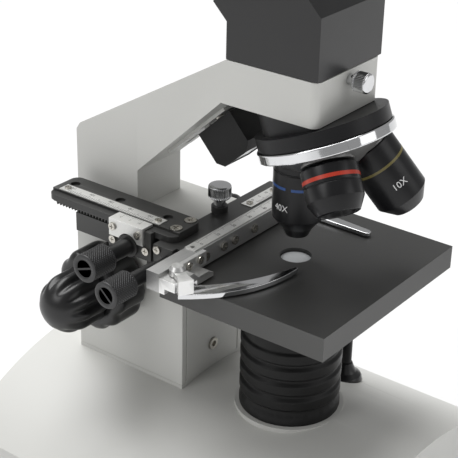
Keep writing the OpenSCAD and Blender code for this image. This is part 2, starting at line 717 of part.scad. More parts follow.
module lamp_housing() {
    color([0.06, 0.06, 0.06]) optic() lamp_frame() difference() {
        lamp_body(0);
        lamp_body(lamp_wall);
        block([-6, 6], lamp_window, [8, 20]);
        // slots that the bracket's ears stand in
        both_sides() block([lamp_ear[0] - gap, lamp_ear[1] + gap], [lamp_pivot[0] - 3, lamp_pivot[0] + 2.6],
            [lamp_back - eps, lamp_back + lamp_wall + eps]);
    }
    // hinge pin, from wall to wall
    color("silver") optic() lamp_frame()
        cyl_x(1, [-lamp_half + 0.6, lamp_half - 0.6], lamp_pivot[0], lamp_pivot[1]);
}
module lamp_lens() {
    color("aliceblue", 0.6) optic() lamp_frame() block([-6, 6], lamp_window, [lamp_d - 1.8, lamp_d - 0.3]);
}
module dimmer_knob() {
    color([0.1, 0.1, 0.1]) difference() {
        union() {
            cyl_y(9, 25, [base_rear_y + gap, base_rear_y + rear_knob_out], rear_control_z);
            cyl_y(3, 25, [base_rear_y - base_wall - 5, base_rear_y + 1], rear_control_z);
        }
        for (k = [0:17]) translate([25, base_rear_y, rear_control_z]) rotate([0, k * 20, 0])
            translate([9.3, 0, 0]) cyl_y(0.7, 0, [0, 6], 0);
    }
}
module power_rocker() {
    color([0.12, 0.12, 0.12]) across(14) polygon([[base_rear_y - 3, rear_control_z - 4], [base_rear_y - 0.6,
        rear_control_z - 9.6], [base_rear_y + 2.2, rear_control_z - 9.2], [base_rear_y + 1, rear_control_z],
        [base_rear_y + 2.2, rear_control_z + 9.2], [base_rear_y - 0.6, rear_control_z + 9.6],
        [base_rear_y - 3, rear_control_z + 4]]);
}
// ---------------------------------------------------------------- stage
under = -stage_t;
module stage_plate() {
    color([0.25, 0.25, 0.25]) optic() difference() {
        block([-stage_w / 2, stage_w / 2], [-stage_front, stage_rear], [-stage_t, 0]);
        cyl_z(stage_hole_r, 0, 0, [-4.2, eps]);
        cyl_z(stage_hole_r - 1.1, 0, 0, [-stage_t - eps, -4]);
        cyl_z(1.2 + fit, 0, disc_pivot_y, [-stage_t - eps, -stage_t + 5]);
        for (p = stage_holes) cyl_z(1.5 + fit, p[0], p[1], [-stage_t - eps, -stage_t + 6]);
    }
}
bracket_y0 = 16;
foot_x0 = y_bar_x0 + 0.8;
foot_x1 = carriage_x1;
stage_holes = [[-9, 22], [9, 22], [-30, 18], [-24, 26]];
module stage_bracket() {
    rack_y = focus_y - focus_r;
    block_x = housing_x - housing_wall - 2.5;
    color("dimgray") optic() {
        difference() {
            union() {
                block([-14, 14], [bracket_y0, 36], [under - bracket_t, under]);
                block([-slot_w / 2 + 0.4, slot_w / 2 - 0.4], [34, housing_y0 + 3], [-24, under]);
                block([-block_x, block_x], [housing_y0 + 2, rack_y - 6], [-38, under]);
                block([-4, 4], [rack_y - 7, rack_y - 1.2], [-38, -12]);
            }
            both_sides() block([housing_x - housing_wall - way_reach - 0.1, housing_x],
                [way_y0 - 0.1, way_y1 + 0.1], [-40, 0]);
            for (p = [stage_holes[0], stage_holes[1]]) cyl_z(1.5 + fit, p[0], p[1], [-20, 0]);
        }
        translate([-4, rack_y, focus_z]) rotate([0, 90, 0]) linear_extrude(8) rotate([0, 0, 180])
            rack_teeth(focus_module, -13, 13, 2);
    }
}
module stage_screws() {
    color("silver") optic() {
        for (p = [stage_holes[0], stage_holes[1]]) translate([p[0], p[1], under - bracket_t])
            rotate([180, 0, 0]) screw(2.8, 1.6, 1.5, bracket_t + 5);
        for (p = [stage_holes[2], stage_holes[3]]) translate([p[0], p[1], under - bracket_t])
            rotate([180, 0, 0]) screw(2.8, 1.6, 1.5, bracket_t + 5);
        // shoulder screw that the diaphragm turns on
        translate([0, disc_pivot_y, 0]) {
            cyl_z(3.4, 0, 0, [under - 3.6, under - 2.9]);
            cyl_z(2, 0, 0, [under - 2.9, under]);
            cyl_z(1.2, 0, 0, [under, under + 4.5]);
        }
        // cross-head screws on the pinion bearing and on its vernier plate
        for (y = [43.6, 60.2]) translate([bearing_x0, y, y_axis_z]) rotate([0, -90, 0]) screw(1.6, 0.8, 1.1, 5);
        for (y = [46.8, 59.4]) translate([bearing_x0 - 1.1, y, 7.9]) rotate([0, -90, 0]) screw(1.6, 0.7, 1.1, 2.6);
    }
}
module stage_condenser() {
    color("lightcyan", 0.6) optic() rotate_extrude() polygon([[0, -4.2], [stage_hole_r, -4.2],
        [stage_hole_r, -1.6], [stage_hole_r * 0.6, -1.15], [0, -0.95]]);
}
module diaphragm_disc() {
    color([0.15, 0.15, 0.15]) optic() difference() {
        cyl_z(disc_r, 0, disc_pivot_y, [under - 0.9 - disc_t, under - 0.9]);
        translate([0, disc_pivot_y, 0]) {
            cyl_z(2 + fit, 0, 0, [under - 6, under]);
            for (k = [0:4]) rotate([0, 0, 72 * k]) cyl_z(disc_holes[k], 0, -disc_pivot_y, [under - 6, under]);
        }
        // coin-edge notches for a fingertip
        for (k = [0:35]) translate([0, disc_pivot_y, 0]) rotate([0, 0, 10 * k + 5])
            cyl_z(0.6, disc_r + 0.2, 0, [under - 6, under]);
    }
}
// ---------------------------------------------------------------- front-to-back slide
bearing_x0 = y_bar_x0 - 2.3;
carriage_x0 = y_bar_x0 + 0.3;
function dove(z, c) = dove_half + (z - dove_z0) * 0.5 + c;
module y_carriage() {
    rack_x1 = carriage_x0 + rack_w + 0.7;
    color([0.15, 0.15, 0.15]) optic() difference() {
        union() {
            block([foot_x0, foot_x1], [14, carriage_y0 + 3], [under - bracket_t, under]);
            block([foot_x0, foot_x1], [stage_rear + gap, carriage_y0 + 3], [under - bracket_t, carriage_z0]);
            block([carriage_x0, carriage_x1], [carriage_y0, carriage_y1], [carriage_z0, y_pitch_z - 0.8]);
            block([rack_x1, carriage_x1], [carriage_y0, carriage_y1], [carriage_z0, dove_z0]);
            along([carriage_y0, carriage_y1]) polygon([[dove_x - dove(dove_z0, 0), dove_z0 - 0.1],
                [dove_x + dove(dove_z0, 0), dove_z0 - 0.1], [dove_x + dove(dove_z1, 0), dove_z1],
                [dove_x - dove(dove_z1, 0), dove_z1]]);
        }
        cyl_x(y_pinion_r + 1, [carriage_x0 - eps, carriage_x0 + rack_w + 0.4], y_axis_y, y_axis_z);
        for (p = [stage_holes[2], stage_holes[3]]) cyl_z(1.5 + fit, p[0], p[1], [-20, 0]);
        for (y = [43.6, 60.2]) cyl_x(1.1 + fit, [carriage_x0 - eps, carriage_x0 + 4], y, y_axis_z);
    }
}
module y_bearing() {
    color([0.12, 0.12, 0.12]) optic() difference() {
        union() {
            block([bearing_x0, carriage_x0], [41.3, 62.5], [carriage_z0, y_pitch_z - 0.8]);
            block([bearing_x0, bearing_x0 + 2], [41.3, 62.5], [carriage_z0, 9.9]);
            cyl_x(4.6, [bearing_x0 - 1.2, bearing_x0], y_axis_y, y_axis_z);
        }
        cyl_x(2 + fit, [bearing_x0 - 3, carriage_x0 + eps], y_axis_y, y_axis_z);
        for (y = [43.6, 60.2]) cyl_x(1.1 + fit, [bearing_x0 - eps, carriage_x0 + eps], y, y_axis_z);
        for (y = [46.8, 59.4]) cyl_x(1.1 + fit, [bearing_x0 - eps, bearing_x0 + 1.6], y, 7.9);
    }
}
module y_vernier() {
    color("silver") optic() difference() {
        union() {
            block([bearing_x0 - 1.1, bearing_x0], [44.5, 61.3], [3.9, 11.1]);
            block([bearing_x0 - 1.1, y_bar_x0 + 2.8], [44.5, 61.3], [10.1, 11.1]);
        }
        cyl_x(4.9, [bearing_x0 - 3, bearing_x0 + eps], y_axis_y, y_axis_z);
        for (y = [46.8, 59.4]) cyl_x(1.1 + fit, [bearing_x0 - 3, bearing_x0 + eps], y, 7.9);
    }
}
module y_knob() {
    x0 = bearing_x0 - 1.2 - gap;
    color([0.12, 0.12, 0.12]) optic() {
        cyl_x(drive_knob_r, [y_knob_face, y_knob_face + y_knob_l], y_axis_y, y_axis_z);
        cyl_x(sleeve_r, [y_knob_face + y_knob_l, x0], y_axis_y, y_axis_z);
        cyl_x(2, [x0, carriage_x0 + rack_w], y_axis_y, y_axis_z);
        translate([carriage_x0 + 0.3, y_axis_y, y_axis_z]) rotate([90, 0, 90]) linear_extrude(rack_w - 0.3)
            rotate([0, 0, 90]) gear(y_module, y_teeth);
    }
}
module y_bar() {
    rebate_x = y_bar_x0 + 3.2;
    color([0.15, 0.15, 0.15]) optic() {
        difference() {
            intersection() {
                along([y_bar_y0, y_bar_y1]) polygon([[y_bar_x0, y_bar_z0], [y_bar_x1, y_bar_z0],
                    [y_bar_x1, y_bar_z1], [rebate_x, y_bar_z1], [rebate_x, 9.9], [y_bar_x0, 9.9]]);
                translate([(y_bar_x0 + y_bar_x1) / 2, (y_bar_y0 + y_bar_y1) / 2, 0]) linear_extrude(20)
                    round_plan(y_bar_w, y_bar_l, 3.5);
            }
            along([y_bar_y0 + 8, y_bar_y1 + eps]) polygon([[dove_x - dove(y_bar_z0 - 1, 0.12), y_bar_z0 - 1],
                [dove_x + dove(y_bar_z0 - 1, 0.12), y_bar_z0 - 1], [dove_x + dove(dove_z1 + 0.15, 0.12), dove_z1 + 0.15],
                [dove_x - dove(dove_z1 + 0.15, 0.12), dove_z1 + 0.15]]);
            for (p = bar_screw_places) translate([p[0], p[1], 0]) {
                cyl_z(1.5 + fit, 0, 0, [5, 12]);
                cyl_z(2.6, 0, 0, [y_bar_z1 - 0.9, 12]);
            }
            for (y = [y_bar_y0 + 12, y_bar_y0 + 36.3, y_bar_y1 - 4.8]) cyl_z(2, y_bar_x1 - 6, y, [y_bar_z1 - 1.2, 12]);
            for (y = scale_screws) cyl_z(0.8 + fit, scale_x, y, [y_bar_z1 - 1.3, 12]);
        }
        // rack along the left edge, teeth down
        translate([carriage_x0 + rack_w, y_axis_y, y_pitch_z]) rotate([90, 0, -90]) linear_extrude(rack_w)
            rack_teeth(y_module, y_axis_y - y_bar_y1 + 3, y_axis_y - y_bar_y0 - 9, y_bar_z0 - y_pitch_z + 0.2);
    }
}
bar_screw_places = [[y_bar_x0 + 5.9, 35.6], [y_bar_x1 - 2.9, 35.6]];
scale_x = y_bar_x0 + 5.9;
scale_l = 51.6;
scale_screws = [y_bar_y0 + 12.4, y_bar_y0 + 12.4 + scale_l - 4.8];
module y_scale() {
    color("gainsboro") optic() difference() {
        block([scale_x - 2.5, scale_x + 2.5], [y_bar_y0 + 10, y_bar_y0 + 10 + scale_l], [y_bar_z1, y_bar_z1 + strip_t]);
        for (y = scale_screws) cyl_z(0.8 + fit, scale_x, y, [y_bar_z1 - eps, 14]);
    }
}
// ---------------------------------------------------------------- side-to-side slide
guide_x0 = y_bar_x0 - 1.7;
module x_guide() {
    color([0.15, 0.15, 0.15]) optic() difference() {
        union() {
            block([guide_x0, guide_x1], [guide_y0, guide_y1], [guide_z0, y_bar_z0]);
            block([y_bar_x0 + 2, guide_x1], [guide_y0 - rail_in, guide_y0], [rail_z0, rail_z1]);
            // bearings of the lead screw
            block([guide_x0 - 2.5, guide_x0], [screw_y - 2.6, guide_y1], [0.4, y_bar_z0]);
            block([30, 33], [screw_y - 2.6, screw_y + 2.6], [0.4, guide_z0]);
            cyl_z(3.3, clamp_x, clamp_y, [y_bar_z0, y_bar_z0 + 2.6]);
        }
        cyl_x(screw_r + fit, [guide_x0 - 4, 34], screw_y, screw_z);
        for (p = bar_screw_places) cyl_z(1.5 + fit, p[0], p[1], [guide_z0 - eps, y_bar_z0 + eps]);
        cyl_z(clamp_pin_r + fit, clamp_x, clamp_y, [guide_z0 - eps, 12]);
        cyl_x(1 + fit, [guide_x0 - 3, guide_x0 + 3], guide_y1 - 1.9, 5.6);
        for (x = vernier_screws) cyl_z(0.8 + fit, x, vernier_y, [y_bar_z0 - 1.5, y_bar_z0 + eps]);
    }
}
vernier_x0 = 10.2;
vernier_l = 20.6;
vernier_y = 31.4;
vernier_screws = [vernier_x0 + 2.4, vernier_x0 + vernier_l - 2.4];
module x_vernier() {
    color("gainsboro") optic() difference() {
        block([vernier_x0, vernier_x0 + vernier_l], [vernier_y - 2.6, vernier_y + 2.6], [y_bar_z0, y_bar_z0 + strip_t]);
        for (x = vernier_screws) cyl_z(0.8 + fit, x, vernier_y, [y_bar_z0 - eps, 12]);
    }
}
module guide_screws() {
    color("silver") optic() {
        for (p = bar_screw_places) translate([p[0], p[1], y_bar_z1 - 0.9]) screw(2.4, 1.2, 1.5, 5.4);
        for (y = scale_screws) translate([scale_x, y, y_bar_z1 + strip_t]) screw(1.4, 0.5, 0.8, 1.5);
        for (x = vernier_screws) translate([x, vernier_y, y_bar_z0 + strip_t]) screw(1.4, 0.5, 0.8, 1.5);
        translate([guide_x0 - 2.5, guide_y1 - 1.9, 5.6]) rotate([0, -90, 0]) screw(1.6, 0.7, 1, 5);
    }
}
module guide_clamp_screw() {
    color("silver") optic() {
        cyl_z(4.6, clamp_x, clamp_y, [y_bar_z0 + 6, y_bar_z0 + 11.4]);
        cyl_z(2.4, clamp_x, clamp_y, [y_bar_z0 + 2.6 + gap, y_bar_z0 + 6]);
        cyl_z(clamp_pin_r, clamp_x, clamp_y, [guide_z0 + 0.2, y_bar_z0 + 6]);
    }
}
module x_knob() {
    color([0.12, 0.12, 0.12]) optic() {
        cyl_x(drive_knob_r - 0.4, [x_knob_face, x_knob_face + x_knob_l], screw_y, screw_z);
        cyl_x(x_sleeve_r, [x_knob_face + x_knob_l, x_sleeve_x1], screw_y, screw_z);
        cyl_x(screw_r, [x_sleeve_x1, 33.6], screw_y, screw_z);
    }
}
slot_y0 = guide_y0 - rail_in - 0.2;
bar_screws = [-29.2, -18.2, -11.3, 1.3];
module x_bar() {
    color("silver") optic() difference() {
        union() {
            block([x_bar_x0, x_bar_x1], [x_bar_y0, x_bar_y1], [x_bar_z0, x_bar_top]);
            // half nut on the lead screw
            block([-8, 0], [x_bar_y1 - 0.1, screw_y - 0.8], [0.6, guide_z0 - gap]);
        }
        block([x_bar_x0 + 3, x_bar_x1 + eps], [slot_y0, x_bar_y1 + eps], [rail_z0 - 0.15, rail_z1 + 0.15]);
        cyl_x(screw_r + fit, [-9, 1], screw_y, screw_z);
        for (x = bar_screws) cyl_y(1 + fit, x, [x_bar_y0 - eps, x_bar_y0 + 3], 4.3);
        for (x = block_screws) cyl_y(1.2 + fit, x, [x_bar_y0 - eps, x_bar_y0 + 3], 5.8);
        for (x = strip_screws) cyl_z(0.8 + fit, x, strip_y, [x_bar_top - 1.3, x_bar_top + eps]);
    }
}
strip_x0 = -34.5;
strip_x1 = 33;
strip_y = 24.4;
strip_screws = [strip_x0 + 2, strip_x1 - 2];
block_screws = [-41.5, -35];
module x_scale() {
    color("gainsboro") optic() difference() {
        block([strip_x0, strip_x1], [strip_y - 2.7, strip_y + 2.2], [x_bar_top, x_bar_top + strip_t]);
        for (x = strip_screws) cyl_z(0.8 + fit, x, strip_y, [x_bar_top - eps, x_bar_top + 2]);
    }
}
module x_bar_screws() {
    color("silver") optic() {
        for (x = bar_screws) translate([x, x_bar_y0, 4.3]) rotate([90, 0, 0]) screw(1.8, 0.8, 1, 2.8);
        for (x = block_screws) translate([x, x_bar_y0 - 1.8, 5.8]) rotate([90, 0, 0]) screw(1.6, 0.8, 1.2, 4.5);
    }
}
module finger_block() {
    x0 = x_bar_x0;
    color("lightgray") optic() difference() {
        union() {
            // gusset over the finger's hub, wider at its foot
            along([block_y0, x_bar_y0]) polygon([[x0, finger_z1 + gap], [-41.4, finger_z1 + gap],
                [-45.6, block_top], [x0, block_top]]);
            // root against the end of the bar
            block([x0, x0 + 3], [18.2, x_bar_y0], [x_bar_z0, block_top]);
            // upright plate against the bar
            block([-46.4, -31], [x_bar_y0 - 1.8, x_bar_y0], [finger_z1 + gap, x_bar_top]);
            // lug that the slide's edge rests against
            along([13.6, x_bar_y0]) polygon([[-43.4, 0.5], [-33.6, 0.5], [-33.6, 2], [-36.6, 3.6], [-43.4, 3.6]]);
        }
        cyl_z(1.5 + fit, finger_pivot[0], finger_pivot[1], [-1, 12]);
        for (x = block_screws) cyl_y(1.2 + fit, x, [x_bar_y0 - 3, x_bar_y0 + eps], 5.8);
    }
}
module fixed_finger() {
    color("silver") optic() translate([0, 0, x_bar_z0]) linear_extrude(1.6)
        polygon([[29.6, x_bar_y0], [35.2, x_bar_y0], [34.4, 8], [32.8, -12.6], [32.2, -13.6], [31, -13.9], [29.8, -13.5],
            [29.3, -12.6], [29.4, 8]]);
}
// point on a quadratic curve
function curve(p, t) = (1 - t) * (1 - t) * p[0] + 2 * t * (1 - t) * p[1] + t * t * p[2];
finger_far = [[-47.6, 14], [-36, -1.5], [-11.4, -7.9]];
finger_near = [[-12, -9.2], [-39, -9.6], [-55.8, 12.4]];
module curved_finger() {
    color("silver") optic() difference() {
        translate([0, 0, finger_z0]) linear_extrude(finger_z1 - finger_z0) union() {
            polygon(concat([for (i = [0:12]) curve(finger_far, i / 12)], [for (i = [0:12]) curve(finger_near, i / 12)],
                [finger_pivot]));
            translate(finger_pivot) circle(finger_hub_r);
        }
        cyl_z(1.5, finger_pivot[0], finger_pivot[1], [-1, 5]);
    }
}
lever_top = 10.2;
module finger_lever() {
    color("silver") optic() {
        cyl_z(1.5, finger_pivot[0], finger_pivot[1], [finger_z0, block_top + 1]);
        translate([finger_pivot[0], finger_pivot[1], block_top + gap]) {
            cylinder(r = 3.1, h = lever_top - block_top - 1.6);
            translate([0, 0, lever_top - block_top - 1.6]) cylinder(r1 = 3.1, r2 = 2.2, h = 1.3);
            // thumb lever, wider at its free end and turned down over the block's corner
            rotate([0, 0, 238]) {
                linear_extrude(2) polygon([[0, -2.3], [5.4, -2], [lip_at + 1.5, -2.9], [lip_at + 1.5, 2.9], [5.4, 2], [0, 2.3]]);
                block([lip_at, lip_at + 1.5], [-2.9, 2.9], [-3.6, 0.1]);
            }
        }
    }
}

base_shell();
base_plate();
rubber_feet();
stand_screws();
column_housing();
front_cover();
arm();
shaft_bushes();
illuminator_housing();
illuminator_lens();
circuit_boards();
stop_post();
post_boot();
nosepiece_mount();
turret_pivot_screw();
lamp_bracket();
stage_plate();
stage_bracket();
stage_screws();
stage_condenser();
y_carriage();
y_bearing();
y_vernier();
diaphragm_disc();
coarse_knobs();
coarse_shaft();
fine_knobs();
fine_shaft();
y_knob();
y_bar();
y_scale();
x_guide();
x_vernier();
guide_screws();
guide_clamp_screw();
x_knob();
x_bar();
x_scale();
x_bar_screws();
finger_block();
fixed_finger();
curved_finger();
finger_lever();
turret();
turret_ring();
objective_4x();
objective_10x();
objective_40x();
objective_lenses();
prism_housing();
prism();
eyepiece_tube();
eyepiece();
eyepiece_lenses();
eyecup();
head_lock_screw();
lamp_housing();
lamp_lens();
dimmer_knob();
power_rocker();
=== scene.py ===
import json
import math
import bmesh
import bpy
from mathutils import Matrix, Vector


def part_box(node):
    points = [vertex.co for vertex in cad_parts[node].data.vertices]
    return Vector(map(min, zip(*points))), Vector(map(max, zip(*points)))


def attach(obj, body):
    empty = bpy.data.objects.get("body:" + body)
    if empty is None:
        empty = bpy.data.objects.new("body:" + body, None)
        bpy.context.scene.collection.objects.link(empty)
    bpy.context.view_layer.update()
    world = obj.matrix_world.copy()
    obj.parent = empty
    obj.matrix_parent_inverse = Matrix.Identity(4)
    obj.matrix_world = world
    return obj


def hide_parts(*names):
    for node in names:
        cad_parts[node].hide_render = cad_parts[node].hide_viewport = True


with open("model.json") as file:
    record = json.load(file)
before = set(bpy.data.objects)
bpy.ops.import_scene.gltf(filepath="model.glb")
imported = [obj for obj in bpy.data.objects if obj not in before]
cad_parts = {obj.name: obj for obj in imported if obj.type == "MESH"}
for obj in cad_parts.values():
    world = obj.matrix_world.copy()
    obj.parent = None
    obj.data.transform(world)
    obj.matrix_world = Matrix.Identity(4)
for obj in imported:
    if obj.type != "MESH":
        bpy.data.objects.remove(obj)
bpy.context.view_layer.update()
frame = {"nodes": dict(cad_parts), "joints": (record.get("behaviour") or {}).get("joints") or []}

# ---------------------------------------------------------------- table, light and camera
# The microscope stands on a plain pale table under one large soft light, with a weaker
# softbox on each side for the glints along the bright metal. The camera looks down at the
# stage from the knobs' side.
mm = 0.001
table_side = 8
camera_spot = (-378.45 * mm, -279.06 * mm, 349.93 * mm)
camera_heading, camera_dip, camera_roll = (math.radians(a) for a in (36.70, 26.37, 1.30))
camera_lens = 105.25

forward = Vector((math.cos(camera_dip) * math.cos(camera_heading),
                  math.cos(camera_dip) * math.sin(camera_heading), -math.sin(camera_dip)))
level_right = Vector((math.sin(camera_heading), -math.cos(camera_heading), 0))
level_up = level_right.cross(forward)
right = level_right * math.cos(camera_roll) + level_up * math.sin(camera_roll)
up = right.cross(forward)
camera = bpy.data.objects.new("camera", bpy.data.cameras.new("camera"))
camera.data.lens = camera_lens
camera.data.clip_start, camera.data.clip_end = 0.01, 20
camera.matrix_world = Matrix((right, up, -forward)).transposed().to_4x4()
camera.location = camera_spot
bpy.context.scene.collection.objects.link(camera)
bpy.context.scene.camera = camera
bpy.context.scene.view_settings.view_transform = "Standard"


def softbox(name, spot, target, size, power):
    """A square soft light at spot that faces target."""
    light = bpy.data.objects.new(name, bpy.data.lights.new(name, "AREA"))
    light.data.energy = power
    light.data.size = size
    light.location = spot
    light.rotation_euler = (Vector(target) - Vector(spot)).to_track_quat("-Z", "Y").to_euler()
    bpy.context.scene.collection.objects.link(light)


overhead = bpy.data.objects.new("overhead", bpy.data.lights.new("overhead", "SUN"))
overhead.data.energy = 2.75
overhead.data.angle = math.radians(50)
overhead.rotation_euler = Vector((-0.10, -0.42, -1)).to_track_quat("-Z", "Y").to_euler()
bpy.context.scene.collection.objects.link(overhead)
softbox("left_softbox", (-0.9, 0.35, 0.75), (0, 0, 0.15), 0.5, 2.2)
softbox("front_softbox", (0.25, -1.0, 0.6), (0, 0, 0.15), 0.6, 1.4)

world = bpy.data.worlds.new("studio")
bpy.context.scene.world = world
world.use_nodes = True
studio = world.node_tree
seen = studio.nodes.new("ShaderNodeLightPath")
studio_mix = studio.nodes.new("ShaderNodeMix")
studio_mix.data_type = "FLOAT"
studio_mix.inputs["A"].default_value = 0.36
studio_mix.inputs["B"].default_value = 1.0
studio.links.new(seen.outputs["Is Camera Ray"], studio_mix.inputs["Factor"])
studio.nodes["Background"].inputs["Color"].default_value = (1, 1, 1, 1)
studio.links.new(studio_mix.outputs["Result"], studio.nodes["Background"].inputs["Strength"])


class Pattern:
    """A socket of a finish. Sums, products and powers of patterns and numbers add Math nodes."""

    def __init__(self, finish, socket):
        self.finish = finish
        self.socket = socket

    def math(self, operation, first, second):
        return self.finish.node("ShaderNodeMath", {"operation": operation}, {0: first, 1: second})

    def __add__(self, other):
        return self.math("ADD", self, other)

    def __radd__(self, other):
        return self.math("ADD", other, self)

    def __sub__(self, other):
        return self.math("SUBTRACT", self, other)

    def __rsub__(self, other):
        return self.math("SUBTRACT", other, self)

    def __mul__(self, other):
        return self.math("MULTIPLY", self, other)

    def __rmul__(self, other):
        return self.math("MULTIPLY", other, self)

    def __pow__(self, other):
        return self.math("POWER", self, other)

    def kept(self):
        """The pattern, held between 0 and 1."""
        return self.finish.node("ShaderNodeMath", {"operation": "ADD", "use_clamp": True}, {0: self, 1: 0.0})


class Finish:
    """The finish of one kind of surface: a Principled shader with constants and patterns."""

    def __init__(self, name):
        self.material = bpy.data.materials.new(name)
        self.material.use_nodes = True
        self.tree = self.material.node_tree
        self.shader = self.tree.nodes["Principled BSDF"]

    def feed(self, target, value):
        if isinstance(value, Pattern):
            self.tree.links.new(value.socket, target)
        elif hasattr(value, "__len__") and len(value) == 3 and len(target.default_value) == 4:
            target.default_value = (*value, 1)
        else:
            target.default_value = value

    def node(self, kind, settings=None, sockets=None, out=0):
        """A new node of that kind, with its settings and sockets, as the pattern it gives out."""
        made = self.tree.nodes.new(kind)
        for key, value in (settings or {}).items():
            setattr(made, key, value)
        for key, value in (sockets or {}).items():
            self.feed(made.inputs[key], value)
        return Pattern(self, made.outputs[out])

    def wear(self, **sockets):
        """Sets sockets of the shader by name, with _ for a space."""
        for key, value in sockets.items():
            self.feed(self.shader.inputs[key.replace("_", " ").title().replace("Ior", "IOR")], value)

    def speckle(self, size, detail=3, stretch=(1, 1, 1)):
        """Noise with grains of that size in metres, longer along the axes with a small stretch."""
        spot = self.node("ShaderNodeTexCoord", out="Object")
        if stretch != (1, 1, 1):
            spot = self.node("ShaderNodeVectorMath", {"operation": "MULTIPLY"}, {0: spot, 1: stretch})
        return self.node("ShaderNodeTexNoise", {}, {"Vector": spot, "Scale": 1 / size, "Detail": detail})

    def rubbed(self, low, gain):
        """How far a place stands out as an edge: partly where hands and tools have rubbed it, partly a painted
        highlight along the bevels.
        """
        # Pointiness lightens the bevels: worn edges and a painted edge highlight at once.
        edge = self.node("ShaderNodeNewGeometry", out="Pointiness")
        return ((edge - low) * gain).kept()

    def mixed(self, share, first, second):
        """Two colours, or patterns of colour, mixed by share."""
        return self.node("ShaderNodeMix", {"data_type": "RGBA"}, {0: share, 6: first, 7: second}, out=2)

    def bumped(self, height, depth):
        """Raises the surface by depth metres times height."""
        self.wear(normal=self.node("ShaderNodeBump", {}, {"Height": height, "Distance": depth}))


table_top = Finish("pale_table")
table_grain = table_top.speckle(0.6, 1)
table_top.wear(base_color=table_top.mixed(table_grain, (0.83, 0.83, 0.83), (0.85, 0.85, 0.85)), roughness=0.8)
table_mesh = bpy.data.meshes.new("table")
half = table_side / 2
table_mesh.from_pydata([(-half, -half, 0), (half, -half, 0), (half, half, 0), (-half, half, 0)], [], [(0, 1, 2, 3)])
table_mesh.materials.append(table_top.material)
table_piece = bpy.data.objects.new("table", table_mesh)
bpy.context.scene.collection.objects.link(table_piece)

# ---------------------------------------------------------------- base
# The base is a hollow light-alloy casting with a crowned top, powder coated in warm light
# grey. A pressed steel plate closes it from below, and four rubber feet carry it.


def soften(name, finish, radius, turns=2, angle=32):
    """Gives a piece of the frame its finish, and rounds its hard edges by radius metres."""
    piece = frame["nodes"][name]
    piece.data.materials.clear()
    piece.data.materials.append(finish.material)
    piece.data.polygons.foreach_set("material_index", [0] * len(piece.data.polygons))
    bpy.context.view_layer.objects.active = piece
    bpy.ops.mesh.customdata_custom_splitnormals_clear()
    piece.data.shade_smooth()
    weld = piece.modifiers.new("weld", "WELD")
    weld.merge_threshold = 2e-6
    flat = piece.modifiers.new("flat", "DECIMATE")
    flat.decimate_type = "DISSOLVE"
    flat.angle_limit = math.radians(0.7)
    edge = piece.modifiers.new("edge", "BEVEL")
    edge.width = radius
    edge.segments = turns
    edge.limit_method = "ANGLE"
    edge.angle_limit = math.radians(angle)
    edge.harden_normals = True
    edge.miter_outer = "MITER_ARC"


body_paint = Finish("body_paint")
clouding = body_paint.speckle(45 * mm, 2)
orange_peel = body_paint.speckle(0.55 * mm, 2)
body_paint.wear(base_color=body_paint.mixed(clouding, (0.56, 0.56, 0.535), (0.62, 0.62, 0.595)),
                roughness=0.36 + 0.12 * clouding, specular_ior_level=0.45)
body_paint.bumped(orange_peel, 0.012 * mm)

black_paint = Finish("black_paint")
dust = black_paint.speckle(7 * mm, 4)
# The black paint is lightened along its edges: partly worn paint, partly a painted highlight on the bevels.
edge_wear_and_highlight = black_paint.rubbed(0.53, 9)
black_paint.wear(base_color=black_paint.mixed(edge_wear_and_highlight * 0.35, (0.007, 0.007, 0.008), (0.07, 0.07, 0.07)),
                 roughness=0.32 + 0.14 * dust, specular_ior_level=0.3)
black_paint.bumped(black_paint.speckle(0.35 * mm, 2), 0.006 * mm)

rubber = Finish("rubber")
bloom = rubber.speckle(5 * mm, 3)
rubber.wear(base_color=rubber.mixed(bloom, (0.018, 0.018, 0.018), (0.032, 0.031, 0.030)),
            roughness=0.62 + 0.15 * bloom)
rubber.bumped(rubber.speckle(0.5 * mm, 3), 0.02 * mm)

soften("base_shell", body_paint, 2.2 * mm, 4, 28)
soften("base_plate", black_paint, 0.3 * mm)
soften("rubber_feet", rubber, 0.8 * mm, 3)

# ---------------------------------------------------------------- screws
# Nickel-plated cross-head screws hold the covers, plates and scales. Each lies in its own
# drilled seat, and the plating is a little warm and uneven around the driver slots.
nickel = Finish("nickel_plate")
plating = nickel.speckle(0.9 * mm, 3)
nickel.wear(base_color=nickel.mixed(plating, (0.44, 0.42, 0.38), (0.66, 0.64, 0.59)), metallic=1.0,
            roughness=0.16 + 0.16 * plating)
nickel.bumped(nickel.speckle(0.3 * mm, 2), 0.006 * mm)
for screws in ("stand_screws", "stage_screws", "guide_screws", "x_bar_screws", "turret_pivot_screw"):
    soften(screws, nickel, 0.18 * mm, 2)

# ---------------------------------------------------------------- column and arm
# The arm and the column housing are castings in the same powder coat, joined by two bolts
# at the shelf. A screwed cover closes the housing in front, with a slot for the stage bracket.
soften("column_housing", body_paint, 0.7 * mm, 3)
soften("front_cover", body_paint, 0.45 * mm, 2)
soften("arm", body_paint, 2.2 * mm, 5, 20)
soften("lamp_bracket", body_paint, 0.2 * mm)

brass = Finish("brass")
turning = brass.speckle(0.5 * mm, 2, (8, 1, 1))
brass.wear(base_color=brass.mixed(turning, (0.60, 0.42, 0.16), (0.74, 0.55, 0.25)), metallic=1.0,
           roughness=0.25 + 0.15 * turning)
soften("shaft_bushes", brass, 0.2 * mm)

steel = Finish("steel")
drawn = steel.speckle(0.4 * mm, 3, (1, 6, 6))
steel.wear(base_color=steel.mixed(drawn, (0.42, 0.42, 0.42), (0.62, 0.62, 0.61)), metallic=1.0,
           roughness=0.22 + 0.18 * drawn)
for shaft in ("coarse_shaft", "fine_shaft"):
    soften(shaft, steel, 0.15 * mm)

# ---------------------------------------------------------------- focusing knobs
# Coarse and fine knobs are moulded in glossy black plastic on both ends of the pinion shaft.
# Hollow flutes run over the rim of each, and the fine knob ends in a round dome.
flutes = 11


